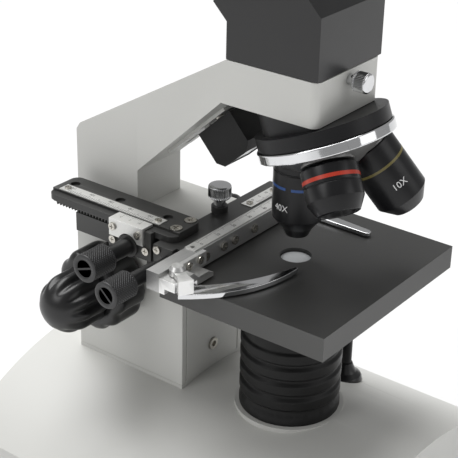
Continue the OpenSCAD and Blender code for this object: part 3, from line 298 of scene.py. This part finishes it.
def corner(before, point, after, radius, steps=3):
    """The points of an arc that takes the place of one corner of an outline."""
    a, p, b = Vector(before), Vector(point), Vector(after)
    one, two = (a - p), (b - p)
    if min(one.length, two.length) < 1e-9:
        return [point]
    bend = math.pi - one.angle(two, 0)
    reach = min(radius * math.tan(bend / 2), one.length * 0.45, two.length * 0.45)
    if bend < math.radians(20) or reach < 1e-6:
        return [point]
    start, end = p + one.normalized() * reach, p + two.normalized() * reach
    return [tuple(start.lerp(p, t).lerp(p.lerp(end, t), t)) for t in (i / steps for i in range(steps + 1))]


def eased(outline, radius):
    """An outline whose corners are rounded by radius metres."""
    points = [outline[0]]
    for i in range(1, len(outline) - 1):
        points += corner(outline[i - 1], outline[i], outline[i + 1], radius)
    return points + [outline[-1]]


def add_piece(name, mesh, finish, body, hides=(), sharp=38):
    """Puts a finished mesh in place as a piece that rides on a body."""
    mesh.materials.append(finish.material)
    mesh.shade_smooth()
    mesh.set_sharp_from_angle(angle=math.radians(sharp))
    piece = bpy.data.objects.new(name, mesh)
    bpy.context.scene.collection.objects.link(piece)
    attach(piece, body)
    if hides:
        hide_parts(*hides)


def mesh_of(name, made):
    """The mesh built up in made, which is freed."""
    mesh = bpy.data.meshes.new(name)
    made.to_mesh(mesh)
    made.free()
    return mesh


def turned(name, outline, place, steps=96, bite=None, sweep=360, start=0):
    """A mesh turned about the Z axis of place from an outline of (radius, height) points.

    bite(angle, radius, height) gives what is taken off the radius there."""
    made = bmesh.new()
    whole = sweep >= 360
    angles = [math.radians(start + sweep * i / steps) for i in range(steps if whole else steps + 1)]
    rings = []
    for radius, height in outline:
        if radius < 1e-7:
            rings.append([made.verts.new(place @ Vector((0, 0, height)))] * len(angles))
            continue
        ring = []
        for angle in angles:
            r = radius - (bite(angle, radius, height) if bite else 0)
            ring.append(made.verts.new(place @ Vector((r * math.cos(angle), r * math.sin(angle), height))))
        rings.append(ring)
    count = len(angles)
    for low, high in zip(rings, rings[1:]):
        for i in range(count if whole else count - 1):
            j = (i + 1) % count
            corners = []
            for vert in (low[i], low[j], high[j], high[i]):
                if vert not in corners:
                    corners.append(vert)
            if len(corners) > 2:
                made.faces.new(corners)
    if not whole:
        for i in (0, count - 1):
            made.faces.new([ring[i] for ring in rings])
    bmesh.ops.recalc_face_normals(made, faces=made.faces)
    return mesh_of(name, made)


def merged(name, meshes):
    """Several meshes as one."""
    made = bmesh.new()
    for mesh in meshes:
        made.from_mesh(mesh)
    return mesh_of(name, made)


gloss_black = Finish("gloss_black")
handling = gloss_black.speckle(9 * mm, 4)
gloss_black.wear(base_color=gloss_black.mixed(handling, (0.006, 0.006, 0.007), (0.012, 0.012, 0.012)),
                 roughness=0.24 + 0.14 * handling, specular_ior_level=0.5)
gloss_black.bumped(gloss_black.speckle(1.6 * mm, 2), 0.008 * mm)

joints = {joint["name"]: joint for joint in frame["joints"]}
focus_axis = Vector(joints["coarse_turn"]["pos_m"])


def outward(side, x):
    """The place whose Z axis runs out along the focusing axis on one side, from x metres out."""
    turn = Matrix.Rotation(math.radians(90 * side), 4, "Y")
    return Matrix.Translation((side * x, focus_axis.y, focus_axis.z)) @ turn


def bell(share):
    """A smooth rise and fall from 0 through 1 at the middle back to 0."""
    return math.sin(math.pi * min(max(share, 0), 1)) ** 0.7


coarse_low, coarse_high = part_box("coarse_knobs")
fine_low, fine_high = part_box("fine_knobs")
coarse_r = (coarse_high.z - coarse_low.z) / 2
fine_r = (fine_high.z - fine_low.z) / 2
coarse_x0 = 21.4 * mm
coarse_l = coarse_high.x - coarse_x0
fine_x0 = coarse_high.x + 0.4 * mm
fine_l = fine_high.x - fine_x0 - fine_r
shaft_r = 4 * mm


def arc(middle_r, middle_h, radius, first, last, step=10):
    """Outline points on an arc from the first angle to the last, in degrees."""
    return [(middle_r + radius * math.cos(math.radians(a)), middle_h + radius * math.sin(math.radians(a)))
            for a in range(first, last + 1, step)]


def coarse_bite(angle, radius, height):
    ridge = (0.5 - 0.5 * math.cos(flutes * angle)) ** 1.6
    return 1.9 * mm * ridge * bell(height / coarse_l) * (radius > coarse_r * 0.7)


def fine_bite(angle, radius, height):
    ridge = (0.5 - 0.5 * math.cos(flutes * angle)) ** 1.5
    return 1.7 * mm * ridge * bell((height + 2 * mm) / (fine_l + fine_r * 0.92)) * min(1, radius / fine_r * 1.2)


rim = 4.2 * mm
coarse_outline = [(shaft_r, 0), (coarse_r - rim - 2 * mm, 0)]
coarse_outline += arc(coarse_r - rim, rim, rim, -90, 0)
rows = 8
coarse_outline += [(coarse_r, rim + (coarse_l - 2 * rim) * i / rows) for i in range(1, rows)]
coarse_outline += arc(coarse_r - rim, coarse_l - rim, rim, 0, 90)
coarse_outline += [(fine_r - 1 * mm, coarse_l - 0.4 * mm), (shaft_r, coarse_l - 0.4 * mm)]
fine_outline = [(2.5 * mm, 0), (fine_r - 0.8 * mm, 0), (fine_r - 0.2 * mm, 0.3 * mm), (fine_r, 0.9 * mm)]
fine_outline += [(fine_r, fine_l * i / rows) for i in range(1, rows)]
fine_outline += arc(0, fine_l, fine_r, 0, 85, 5) + [(0, fine_l + fine_r)]
knob_steps = 288
coarse_pair = [turned("coarse", coarse_outline, outward(side, coarse_x0), knob_steps, coarse_bite)
               for side in (-1, 1)]
fine_pair = [turned("fine", fine_outline, outward(side, fine_x0), knob_steps, fine_bite) for side in (-1, 1)]
add_piece("coarse_knob_pair", merged("coarse", coarse_pair), gloss_black, "coarse_focus",
          ["coarse_knobs"], 60)
add_piece("fine_knob_pair", merged("fine", fine_pair), gloss_black, "fine_focus", ["fine_knobs"], 60)

# ---------------------------------------------------------------- stage
# The stage is a thick alloy plate in satin black, with a small ground lens set in its
# middle hole. The cast bracket, the carriage and its bearing carry the same black.
stage_paint = Finish("stage_paint")
haze = stage_paint.speckle(30 * mm, 3)
stage_grain = stage_paint.speckle(0.45 * mm, 3)
# The stage's edges are lightened: partly rubbed paint, partly a painted highlight along the bevels.
stage_edge_wear_and_highlight = stage_paint.rubbed(0.535, 8)
stage_base = stage_paint.mixed(haze, (0.020, 0.020, 0.019), (0.028, 0.028, 0.027))
stage_paint.wear(base_color=stage_paint.mixed(stage_edge_wear_and_highlight * 0.4, stage_base, (0.16, 0.16, 0.155)),
                 roughness=0.34 + 0.10 * haze + 0.06 * stage_grain)
stage_paint.bumped(stage_grain, 0.010 * mm)
soften("stage_plate", stage_paint, 0.45 * mm, 3)
soften("stage_bracket", stage_paint, 0.15 * mm)
for node in ("y_carriage", "y_bearing"):
    soften(node, stage_paint, 0.3 * mm)
soften("diaphragm_disc", black_paint, 0.12 * mm)

glass = Finish("glass")
smear = glass.speckle(4 * mm, 3)
glass.wear(base_color=(0.93, 0.96, 0.97), transmission_weight=1.0, ior=1.5, roughness=0.03 + 0.05 * smear)
ground_glass = Finish("ground_glass")
frosting = ground_glass.speckle(0.5 * mm, 3)
ground_glass.wear(base_color=ground_glass.mixed(frosting, (0.55, 0.57, 0.58), (0.66, 0.68, 0.69)), ior=1.5,
                  roughness=0.10 + 0.12 * frosting)
ground_glass.bumped(frosting, 0.01 * mm)
for node in ("objective_lenses", "prism", "eyepiece_lenses"):
    soften(node, glass, 0.2 * mm)
for node in ("stage_condenser", "illuminator_lens", "lamp_lens"):
    soften(node, ground_glass, 0.2 * mm)

# ---------------------------------------------------------------- front-to-back slide
# A black bar slides over the carriage on a dovetail. Its bright scale plate reads against
# the bent vernier plate screwed to the bearing, and a rack runs along its left edge.
soften("y_bar", stage_paint, 0.5 * mm, 3)

scale_plate = Finish("scale_plate")
brushed = scale_plate.speckle(0.35 * mm, 4)
scale_plate.wear(base_color=scale_plate.mixed(brushed, (0.62, 0.62, 0.60), (0.80, 0.80, 0.78)), metallic=0.75,
                 roughness=0.30 + 0.14 * brushed)
scale_plate.bumped(brushed, 0.006 * mm)
soften("y_scale", scale_plate, 0.1 * mm)
soften("y_vernier", scale_plate, 0.18 * mm)

ink = Finish("black_ink")
ink_wear = ink.speckle(0.8 * mm, 3)
ink.wear(base_color=ink.mixed(ink_wear, (0.015, 0.015, 0.016), (0.07, 0.07, 0.07)), roughness=0.5 + 0.1 * ink_wear)


def lettering(text, height, centre, turn=0):
    """The filled outline of a word in the plane, as vertices and faces."""
    curve = bpy.data.curves.new("word", "FONT")
    curve.body = text
    curve.size = height * 1.4
    curve.align_x = "CENTER"
    curve.align_y = "CENTER"
    curve.resolution_u = 3
    word = bpy.data.objects.new("word", curve)
    bpy.context.scene.collection.objects.link(word)
    bpy.context.view_layer.update()
    mesh = bpy.data.meshes.new_from_object(word.evaluated_get(bpy.context.evaluated_depsgraph_get()))
    bpy.data.objects.remove(word)
    mesh.transform(Matrix.Translation((*centre, 0)) @ Matrix.Rotation(math.radians(turn), 4, "Z"))
    return mesh


def legend(name, place, ticks, words, finish, body, thick=0.03 * mm, roll_r=0):
    """Printed marks: ticks are (u, v0, v1, width) and words (text, height, u, v, turn), in the
    plane of place. With roll_r the plane is rolled round place's Y axis at that radius."""
    made = bmesh.new()
    for u, v0, v1, width in ticks:
        quad = [made.verts.new((u + s * width / 2, v, 0)) for s, v in ((-1, v0), (1, v0), (1, v1), (-1, v1))]
        made.faces.new(quad)
    for text, height, u, v, turn in words:
        made.from_mesh(lettering(text, height, (u, v), turn))
    if roll_r:
        cut = [e for e in made.edges if e.calc_length() > 0.4 * mm]
        bmesh.ops.subdivide_edges(made, edges=cut, cuts=2)
    bmesh.ops.triangulate(made, faces=made.faces)
    raised = bmesh.ops.extrude_face_region(made, geom=made.faces[:])
    for vert in [g for g in raised["geom"] if isinstance(g, bmesh.types.BMVert)]:
        vert.co.z += thick
    if roll_r:
        for vert in made.verts:
            angle, r = vert.co.x / roll_r, roll_r + vert.co.z - thick / 3
            vert.co = (r * math.sin(angle), vert.co.y, r * math.cos(angle))
    bmesh.ops.recalc_face_normals(made, faces=made.faces)
    mesh = mesh_of(name, made)
    mesh.transform(place)
    add_piece(name, mesh, finish, body, sharp=60)


def frame_at(spot, along, across):
    """A place with its X axis along one direction and its Y axis across it."""
    x, y = Vector(along).normalized(), Vector(across).normalized()
    return Matrix.Translation(spot) @ Matrix((x, y, x.cross(y))).transposed().to_4x4()


def ruler(length, step, long_every, short, long):
    """Ticks along a scale from 0 to length, each a tuple for legend()."""
    count = round(length / step)
    return [(i * step, 0, long if i % long_every == 0 else short, 0.16 * mm) for i in range(count + 1)]


def vernier_words(height, v):
    """The numbers of a vernier that divides 9 mm, for legend()."""
    return [(text, height, u * mm, v, 0) for text, u in (("0", 0), ("5", 4.5), ("10", 9))]


scale_low, scale_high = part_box("y_scale")
scale_edge = frame_at((scale_low.x + 0.15 * mm, scale_high.y - 4.6 * mm, scale_high.z), (0, -1, 0), (1, 0, 0))
first_number = 110
y_words = [(str(first_number + u), 1.2 * mm, u * mm, 3.4 * mm, 180) for u in range(0, 41, 10)]
legend("y_scale_marks", scale_edge, ruler(43 * mm, 1 * mm, 5, 1.3 * mm, 2.1 * mm), y_words, ink, "cross_guide")
vernier_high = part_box("y_vernier")[1]
vernier_edge = frame_at((vernier_high.x - 0.1 * mm, vernier_high.y - 3.4 * mm, vernier_high.z),
                        (0, -1, 0), (-1, 0, 0))
legend("y_vernier_marks", vernier_edge, ruler(9 * mm, 0.9 * mm, 5, 1.0 * mm, 1.6 * mm),
       vernier_words(1.2 * mm, 2.7 * mm), ink, "stage")

# ---------------------------------------------------------------- drive knobs
# Two small knobs of black-oxide brass turn the pinion and the lead screw. A fine diamond
# knurl covers the barrel, and the outer end holds a slotted screw in a turned groove.
knob_black = Finish("knob_black")
grime = knob_black.speckle(2.5 * mm, 3)
# The knurl's ridges are lightened: partly worn black oxide, partly a painted highlight on the peaks.
knurl_wear_and_highlight = knob_black.rubbed(0.52, 7)
knob_black.wear(base_color=knob_black.mixed(knurl_wear_and_highlight * 0.5, (0.012, 0.012, 0.013), (0.16, 0.16, 0.16)),
                roughness=0.34 + 0.14 * grime, specular_ior_level=0.5)
knob_black.bumped(grime, 0.01 * mm)
soften("y_knob", gloss_black, 0.25 * mm)
soften("x_knob", gloss_black, 0.25 * mm)
knurl_depth = 0.34 * mm
grip_over = 0.22 * mm


def slotted_disc(radius, deep, slot_w, place, arc=14):
    """The two halves of a slotted screw end, on a thin disc, facing -Z of place."""
    made = bmesh.new()
    for side in (-1, 1):
        lean = math.asin(slot_w / 2 / radius)
        edge = [lean + (math.pi - 2 * lean) * i / arc for i in range(arc + 1)]
        top = [(radius * math.cos(a), side * radius * math.sin(a)) for a in edge]
        faces = [[made.verts.new(place @ Vector((x, y, z))) for x, y in top] for z in (0, deep)]
        made.faces.new(faces[0])
        made.faces.new(faces[1])
        for i in range(len(top)):
            j = (i + 1) % len(top)
            made.faces.new([faces[0][i], faces[0][j], faces[1][j], faces[1][i]])
    bmesh.ops.recalc_face_normals(made, faces=made.faces)
    return mesh_of("slotted", made)


def drive_knob(name, body, spot, radius, length, slot_turn):
    """A knurled grip whose outer face is at spot and whose barrel runs along +X."""
    place = Matrix.Translation(spot) @ Matrix.Rotation(math.radians(90), 4, "Y")
    recess = radius * 0.68
    recess_deep = 0.75 * mm
    knurl_pitch = 1.1 * mm
    outline = [(0, recess_deep), (recess, recess_deep), (recess, 0.06 * mm), (recess + 0.1 * mm, 0),
               (radius - 0.5 * mm, 0), (radius - 0.12 * mm, 0.16 * mm), (radius, 0.5 * mm)]
    rows = round(length / (0.2 * mm))
    outline += [(radius, 0.5 * mm + (length - 1.0 * mm) * i / rows) for i in range(1, rows + 1)]
    outline += [(radius - 0.4 * mm, length), (radius - 1.2 * mm, length)]
    rounds = round(math.pi * radius / knurl_pitch)
    pitch = math.pi / knurl_pitch

    def knurl(angle, r, height):
        inside = r > radius - 0.01 * mm and 0.7 * mm < height < length - 0.7 * mm
        one = math.cos(rounds * angle + pitch * height) ** 2
        two = math.cos(rounds * angle - pitch * height) ** 2
        return knurl_depth * (0.8 * one + 0.4 * two) * inside

    barrel = turned(name, outline, place, 400, knurl)
    end_place = place @ Matrix.Translation((0, 0, 0.1 * mm)) @ Matrix.Rotation(math.radians(slot_turn), 4, "Z")
    end = slotted_disc(recess - 0.35 * mm, 0.7 * mm, 0.75 * mm, end_place)
    add_piece(name, merged(name, [barrel, end]), knob_black, body, sharp=32)


y_axis = Vector(joints["cross_knob_turn"]["pos_m"])
x_axis = Vector(joints["travel_knob_turn"]["pos_m"])
y_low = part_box("y_knob")[0]
x_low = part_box("x_knob")[0]
y_knob_r = 5.4 * mm
x_knob_r = 5.0 * mm
knob_l = 12.0 * mm
end_over = 0.1 * mm
drive_knob("y_knob_grip", "y_drive", (y_low.x - end_over, y_axis.y, y_axis.z), y_knob_r + grip_over, knob_l, 70)
drive_knob("x_knob_grip", "x_drive", (x_low.x - end_over, x_axis.y, x_axis.z), x_knob_r + grip_over, knob_l, 132)

# ---------------------------------------------------------------- side-to-side slide
# The guide crosses behind the stage on the long bar. The slide holder's bar is drawn
# aluminium with a bright scale strip on top, and runs on the guide's rail.
soften("x_guide", stage_paint, 0.3 * mm, 2)
bar_aluminium = Finish("bar_aluminium")
streak = bar_aluminium.speckle(0.5 * mm, 4, (0.05, 1, 1))
blotch = bar_aluminium.speckle(14 * mm, 3)
bar_aluminium.wear(base_color=bar_aluminium.mixed(streak, (0.40, 0.40, 0.40), (0.52, 0.52, 0.51)), metallic=0.85,
                   roughness=0.34 + 0.12 * blotch)
bar_aluminium.bumped(streak, 0.008 * mm)
soften("x_bar", bar_aluminium, 0.25 * mm)
soften("x_scale", scale_plate, 0.1 * mm)
soften("x_vernier", scale_plate, 0.1 * mm)

strip_low, strip_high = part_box("x_scale")
x_words = [(str(u), 1.4 * mm, u * mm, -3.2 * mm, 0) for u in range(0, 51, 10)]
strip_place = frame_at((strip_low.x + 6 * mm, strip_high.y - 0.1 * mm, strip_high.z), (1, 0, 0), (0, 1, 0))
strip_ticks = [(u, -v1, -v0, w) for u, v0, v1, w in ruler(56 * mm, 1 * mm, 5, 1.3 * mm, 2.0 * mm)]
legend("x_scale_marks", strip_place, strip_ticks, x_words, ink, "slide_holder")
reader_low, reader_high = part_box("x_vernier")
reader_place = frame_at((reader_low.x + 5.6 * mm, reader_low.y + 0.1 * mm, reader_high.z), (1, 0, 0), (0, 1, 0))
legend("x_vernier_marks", reader_place, ruler(9 * mm, 0.9 * mm, 5, 1.2 * mm, 1.9 * mm),
       vernier_words(1.3 * mm, 3.4 * mm), ink, "cross_guide")

# ---------------------------------------------------------------- slide holder
# The holder's block and its spring lever are tumbled zinc castings. The fixed finger and
# the curved spring finger are stamped steel, bent, rounded and chrome plated.
cast_aluminium = Finish("cast_aluminium")
tumble = cast_aluminium.speckle(1.3 * mm, 4)
# The castings are lightened along their edges: partly burnished metal, partly a painted highlight on the bevels.
burnish_and_highlight = cast_aluminium.rubbed(0.52, 8)
cast_base = cast_aluminium.mixed(tumble, (0.50, 0.50, 0.49), (0.68, 0.68, 0.67))
cast_aluminium.wear(base_color=cast_aluminium.mixed(burnish_and_highlight, cast_base, (0.85, 0.85, 0.84)), metallic=0.85,
                    roughness=0.26 + 0.2 * tumble)
cast_aluminium.bumped(tumble, 0.03 * mm)
soften("finger_block", cast_aluminium, 0.35 * mm, 3)
soften("finger_lever", cast_aluminium, 0.5 * mm, 3)

chrome = Finish("chrome")
lustre = chrome.speckle(6 * mm, 3)
chrome.wear(base_color=chrome.mixed(lustre, (0.62, 0.63, 0.64), (0.74, 0.74, 0.75)), metallic=1.0,
            roughness=0.05 + 0.07 * lustre)
chrome.bumped(chrome.speckle(2.2 * mm, 2), 0.006 * mm)
soften("fixed_finger", chrome, 0.35 * mm, 3)
soften("curved_finger", chrome, 0.5 * mm, 4)

# ---------------------------------------------------------------- thumbscrews
# The guide's clamp screw and the head's lock screw are turned from brass and chromed, with
# a polished face and a straight knurl cut round the grip.


def thumbscrew(name, body, place, radius, thick, teeth, hides, stem):
    """A straight-knurled grip of that thickness along place's Z, with its stem outline."""
    rows = 12
    outline = [(0, thick), (radius - 0.9 * mm, thick), (radius - 0.35 * mm, thick - 0.12 * mm),
               (radius - 0.05 * mm, thick - 0.5 * mm), (radius, thick - 0.9 * mm)]
    outline += [(radius, (thick - 0.9 * mm) * (1 - i / rows) + 0.5 * mm * i / rows) for i in range(1, rows + 1)]
    outline += [(radius - 0.4 * mm, 0), *stem]

    def knurl(angle, r, height):
        inside = r > radius - 0.01 * mm and 0.6 * mm < height < thick - 0.8 * mm
        return 0.38 * mm * (0.5 - 0.5 * math.cos(teeth * angle)) * inside

    add_piece(name, turned(name, outline, place, teeth * 8, knurl), chrome, body, hides, 50)


clamp_low, clamp_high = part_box("guide_clamp_screw")
clamp_mid = (clamp_low + clamp_high) / 2
clamp_r = (clamp_high.x - clamp_low.x) / 2
clamp_l = 5.4 * mm
clamp_end = clamp_low.z - clamp_high.z + clamp_l
thumbscrew("guide_thumbscrew", "guide_clamp", Matrix.Translation((clamp_mid.x, clamp_mid.y, clamp_high.z - clamp_l)),
           clamp_r, clamp_l, 40, ["guide_clamp_screw"],
           [(2.4 * mm, 0), (2.4 * mm, -3.1 * mm), (1 * mm, -3.1 * mm), (1 * mm, clamp_end), (0, clamp_end)])
lock_low, lock_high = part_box("head_lock_screw")
lock_mid = (lock_low + lock_high) / 2
lock_l = 5.5 * mm
lock_place = Matrix.Translation((lock_mid.x, lock_low.y + lock_l, lock_mid.z))
lock_place = lock_place @ Matrix.Rotation(math.radians(90), 4, "X")
lock_end = lock_low.y + lock_l - lock_high.y
thumbscrew("head_thumbscrew", "head_lock", lock_place, (lock_high.x - lock_low.x) / 2, lock_l, 36,
           ["head_lock_screw"], [(2 * mm, 0), (2 * mm, lock_end), (0, lock_end)])

# ---------------------------------------------------------------- nosepiece
# The revolving nosepiece is turned from alloy, with a black enamelled cover above and a
# polished chrome grip ring. A click stop shows as a small bright pad in the ring.
soften("nosepiece_mount", black_paint, 0.6 * mm, 3)
turret_metal = Finish("turret_metal")
lathe_mark = turret_metal.speckle(0.5 * mm, 3)
turret_metal.wear(base_color=turret_metal.mixed(lathe_mark, (0.20, 0.20, 0.20), (0.27, 0.27, 0.265)), metallic=0.7,
                  roughness=0.30 + 0.1 * lathe_mark)
soften("turret", turret_metal, 0.3 * mm, 2)
soften("turret_ring", chrome, 0.6 * mm, 3)

turret_pivot = Vector(joints["nosepiece_turn"]["pos_m"])
turret_axis = Vector(joints["nosepiece_turn"]["axis"]).normalized()
optical_y = -29 * mm


def at_objective(k):
    """The place of objective k: its Z axis is the objective's axis, with heights above the table."""
    swing = Matrix.Rotation(math.radians(120 * k), 4, turret_axis)
    round_pivot = Matrix.Translation(turret_pivot) @ swing @ Matrix.Translation(-turret_pivot)
    return round_pivot @ Matrix.Translation((0, optical_y, 0))


def span(node, place):
    """The lowest and highest corner of a frame piece in another place."""
    back = place.inverted()
    spots = [back @ vert.co for vert in frame["nodes"][node].data.vertices]
    return [Vector([pick(spot[i] for spot in spots) for i in range(3)]) for pick in (min, max)]


ring_place = frame_at(turret_pivot, (1, 0, 0), turret_axis.cross(Vector((1, 0, 0))))
ring_r = span("turret_ring", ring_place)[1].x
pad_turn = -128
pad_sweep = 9
pad_half = 1.7 * mm
pad_r = ring_r + 0.18 * mm
pad_outline = [(ring_r - 1 * mm, -pad_half), (pad_r, -pad_half), (pad_r, pad_half), (ring_r - 1 * mm, pad_half)]
pad = turned("pad", eased(pad_outline, 0.1 * mm), ring_place, 10, None, pad_sweep, pad_turn)
add_piece("click_stop_pad", pad, chrome, "nosepiece")

# ---------------------------------------------------------------- objectives
# Three objectives screw into the nosepiece. Each barrel is turned brass in satin black
# enamel, with a painted ring in its own colour and its power engraved in white.
enamel = Finish("barrel_enamel")
enamel_haze = enamel.speckle(6 * mm, 3)
# The enamel is lightened along its edges: partly worn enamel, partly a painted highlight on the bevels.
enamel_wear_and_highlight = enamel.rubbed(0.54, 6)
enamel.wear(base_color=enamel.mixed(enamel_wear_and_highlight * 0.3, (0.006, 0.006, 0.007), (0.06, 0.06, 0.06)),
            roughness=0.27 + 0.1 * enamel_haze, specular_ior_level=0.35)
enamel.bumped(enamel.speckle(0.3 * mm, 2), 0.004 * mm)


def ring_colour(name, colour):
    """Glossy ring enamel, a little uneven where the brush lifted."""
    finish = Finish(name)
    brush = finish.speckle(1.2 * mm, 3)
    finish.wear(base_color=finish.mixed(brush, [c * 0.85 for c in colour], colour), roughness=0.3 + 0.1 * brush)
    return finish


white_ink = Finish("white_ink")
white_wear = white_ink.speckle(0.6 * mm, 3)
white_ink.wear(base_color=white_ink.mixed(white_wear, (0.62, 0.62, 0.62), (0.88, 0.88, 0.88)), roughness=0.5)

thread_l = 3.4 * mm
thread_r = 7.55 * mm


def barrel(name, k, node, shape, bore, band, colour, gap_at, gap_w, power, power_at, power_drop):
    """One objective. shape gives (radius taken off, distance below the shoulder) down its side."""
    place = at_objective(k)
    low, high = span(node, place)
    shoulder = high.z - thread_l
    outer = high.x
    side = [(outer - inward, shoulder - drop) for inward, drop in shape]
    outline = [(0, high.z - 2 * mm), (bore, high.z - 2 * mm), (bore, high.z), (thread_r, high.z),
               (thread_r, shoulder)]
    outline += side + [(side[-1][0] - 0.9 * mm, low.z), (side[-1][0] - 1.2 * mm, low.z + 0.5 * mm),
                       (side[-1][0] - 1.5 * mm, low.z + 2.2 * mm), (0, low.z + 2.2 * mm)]
    mesh = turned(name, eased(outline, 0.35 * mm), place, 128)
    add_piece(name, mesh, enamel, "nosepiece", [node])
    top, bottom = (shoulder - drop for drop in band)
    under, over = outer - 0.2 * mm, outer + 0.03 * mm
    strip = [(under, top), (over, top), (over, bottom), (under, bottom)]
    painted = turned(name, strip, place, 120, None, 360 - gap_w, gap_at + gap_w / 2)
    add_piece(name + "_ring", painted, ring_colour(name + "_ring", colour), "nosepiece")
    facing = place @ Matrix.Rotation(math.radians(power_at + 90), 4, "Z")
    facing = facing @ Matrix.Translation((0, 0, shoulder - power_drop)) @ Matrix.Rotation(math.radians(90), 4, "X")
    legend(name + "_power", facing, [], [(power, 2.6 * mm, 0, 0, 0)], white_ink, "nosepiece",
           roll_r=outer)


barrel("barrel_40x", 0, "objective_40x",
       [(0, 0), (0, 2.6 * mm), (0.2 * mm, 2.8 * mm), (0.2 * mm, 3.1 * mm), (0, 3.3 * mm), (0, 22.2 * mm),
        (3.5 * mm, 26.4 * mm), (4.0 * mm, 27.0 * mm), (5.5 * mm, 30.2 * mm)], 6.4 * mm,
       (8.0 * mm, 9.1 * mm), (0.016, 0.075, 0.27), 190, 13, "40X", 173, 16.6 * mm)
barrel("barrel_4x", 1, "objective_4x",
       [(1 * mm, 1 * mm), (0, 1.6 * mm), (0, 7.5 * mm), (0.3 * mm, 7.6 * mm), (0.3 * mm, 7.95 * mm), (0, 8.05 * mm),
        (0, 13.1 * mm), (2.5 * mm, 18.0 * mm)], 6.4 * mm,
       (5.0 * mm, 6.4 * mm), (0.50, 0.035, 0.012), 350, 8, "4X", 240, 11 * mm)
barrel("barrel_10x", 2, "objective_10x",
       [(0, 0), (0, 24.0 * mm), (4.0 * mm, 29.2 * mm)], 6.4 * mm,
       (8.0 * mm, 9.0 * mm), (0.17, 0.14, 0.035), 180, 8, "10X", 350, 17 * mm)

# ---------------------------------------------------------------- head and eyepiece
# The prism housing is a glossy black casting that turns on the arm. Its tube holds the
# eyepiece, a push fit with a rubber cup round the eye lens.
soften("prism_housing", gloss_black, 1.2 * mm, 4, 25)
soften("eyepiece_tube", black_paint, 0.4 * mm, 2)
soften("eyecup", rubber, 0.5 * mm, 3)
black_plastic = Finish("black_plastic")
mould = black_plastic.speckle(0.6 * mm, 3)
# The plastic is lightened along its edges: partly rubbed plastic, partly a painted highlight on the bevels.
plastic_wear_and_highlight = black_plastic.rubbed(0.53, 6)
black_plastic.wear(base_color=black_plastic.mixed(plastic_wear_and_highlight * 0.3, (0.007, 0.007, 0.007), (0.05, 0.05, 0.05)),
                   roughness=0.34 + 0.16 * mould, specular_ior_level=0.25)
black_plastic.bumped(mould, 0.012 * mm)
soften("eyepiece", black_plastic, 0.4 * mm, 2)

# ---------------------------------------------------------------- lamps and controls
# The lower lamp stands in a ribbed black tube on the base, and the upper one hangs in a
# moulded box under the arm. The dimmer, rocker and socket sit in the base's rear wall.
soften("illuminator_housing", black_plastic, 0.4 * mm, 3)
soften("lamp_housing", black_plastic, 1.6 * mm, 5, 25)
soften("dimmer_knob", black_plastic, 0.3 * mm)
soften("power_rocker", gloss_black, 0.4 * mm, 3)
circuit = Finish("circuit")
solder = circuit.speckle(1.5 * mm, 2)
circuit.wear(base_color=circuit.mixed((solder * 6 - 3.4).kept(), (0.012, 0.10, 0.04), (0.40, 0.36, 0.22)),
             roughness=0.35 + 0.1 * solder)
soften("circuit_boards", circuit, 0.1 * mm)

# ---------------------------------------------------------------- stop post
# A black post on the base keeps the stage from being racked down onto the lamp. A glossy
# moulded boot flares out round its foot.
boot_low, boot_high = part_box("post_boot")
boot_r = (boot_high.x - boot_low.x) / 2
boot_place = Matrix.Translation(((boot_low.x + boot_high.x) / 2, (boot_low.y + boot_high.y) / 2, boot_low.z))
boot_h = boot_high.z - boot_low.z
post_r = 2.35 * mm
boot_outline = [(post_r, 0), (boot_r, 0), (boot_r, 1.5 * mm), (boot_r - 0.5 * mm, 2.5 * mm),
                (boot_r - 2.4 * mm, 4.0 * mm), (post_r + 1.3 * mm, 5.6 * mm), (post_r + 0.7 * mm, boot_h - 0.8 * mm),
                (post_r + 0.4 * mm, boot_h), (post_r, boot_h)]
soften("stop_post", black_paint, 0.15 * mm)
boot = turned("boot", eased(boot_outline, 0.4 * mm), boot_place, 64)
add_piece("boot_dome", boot, gloss_black, "stand", ["post_boot"])
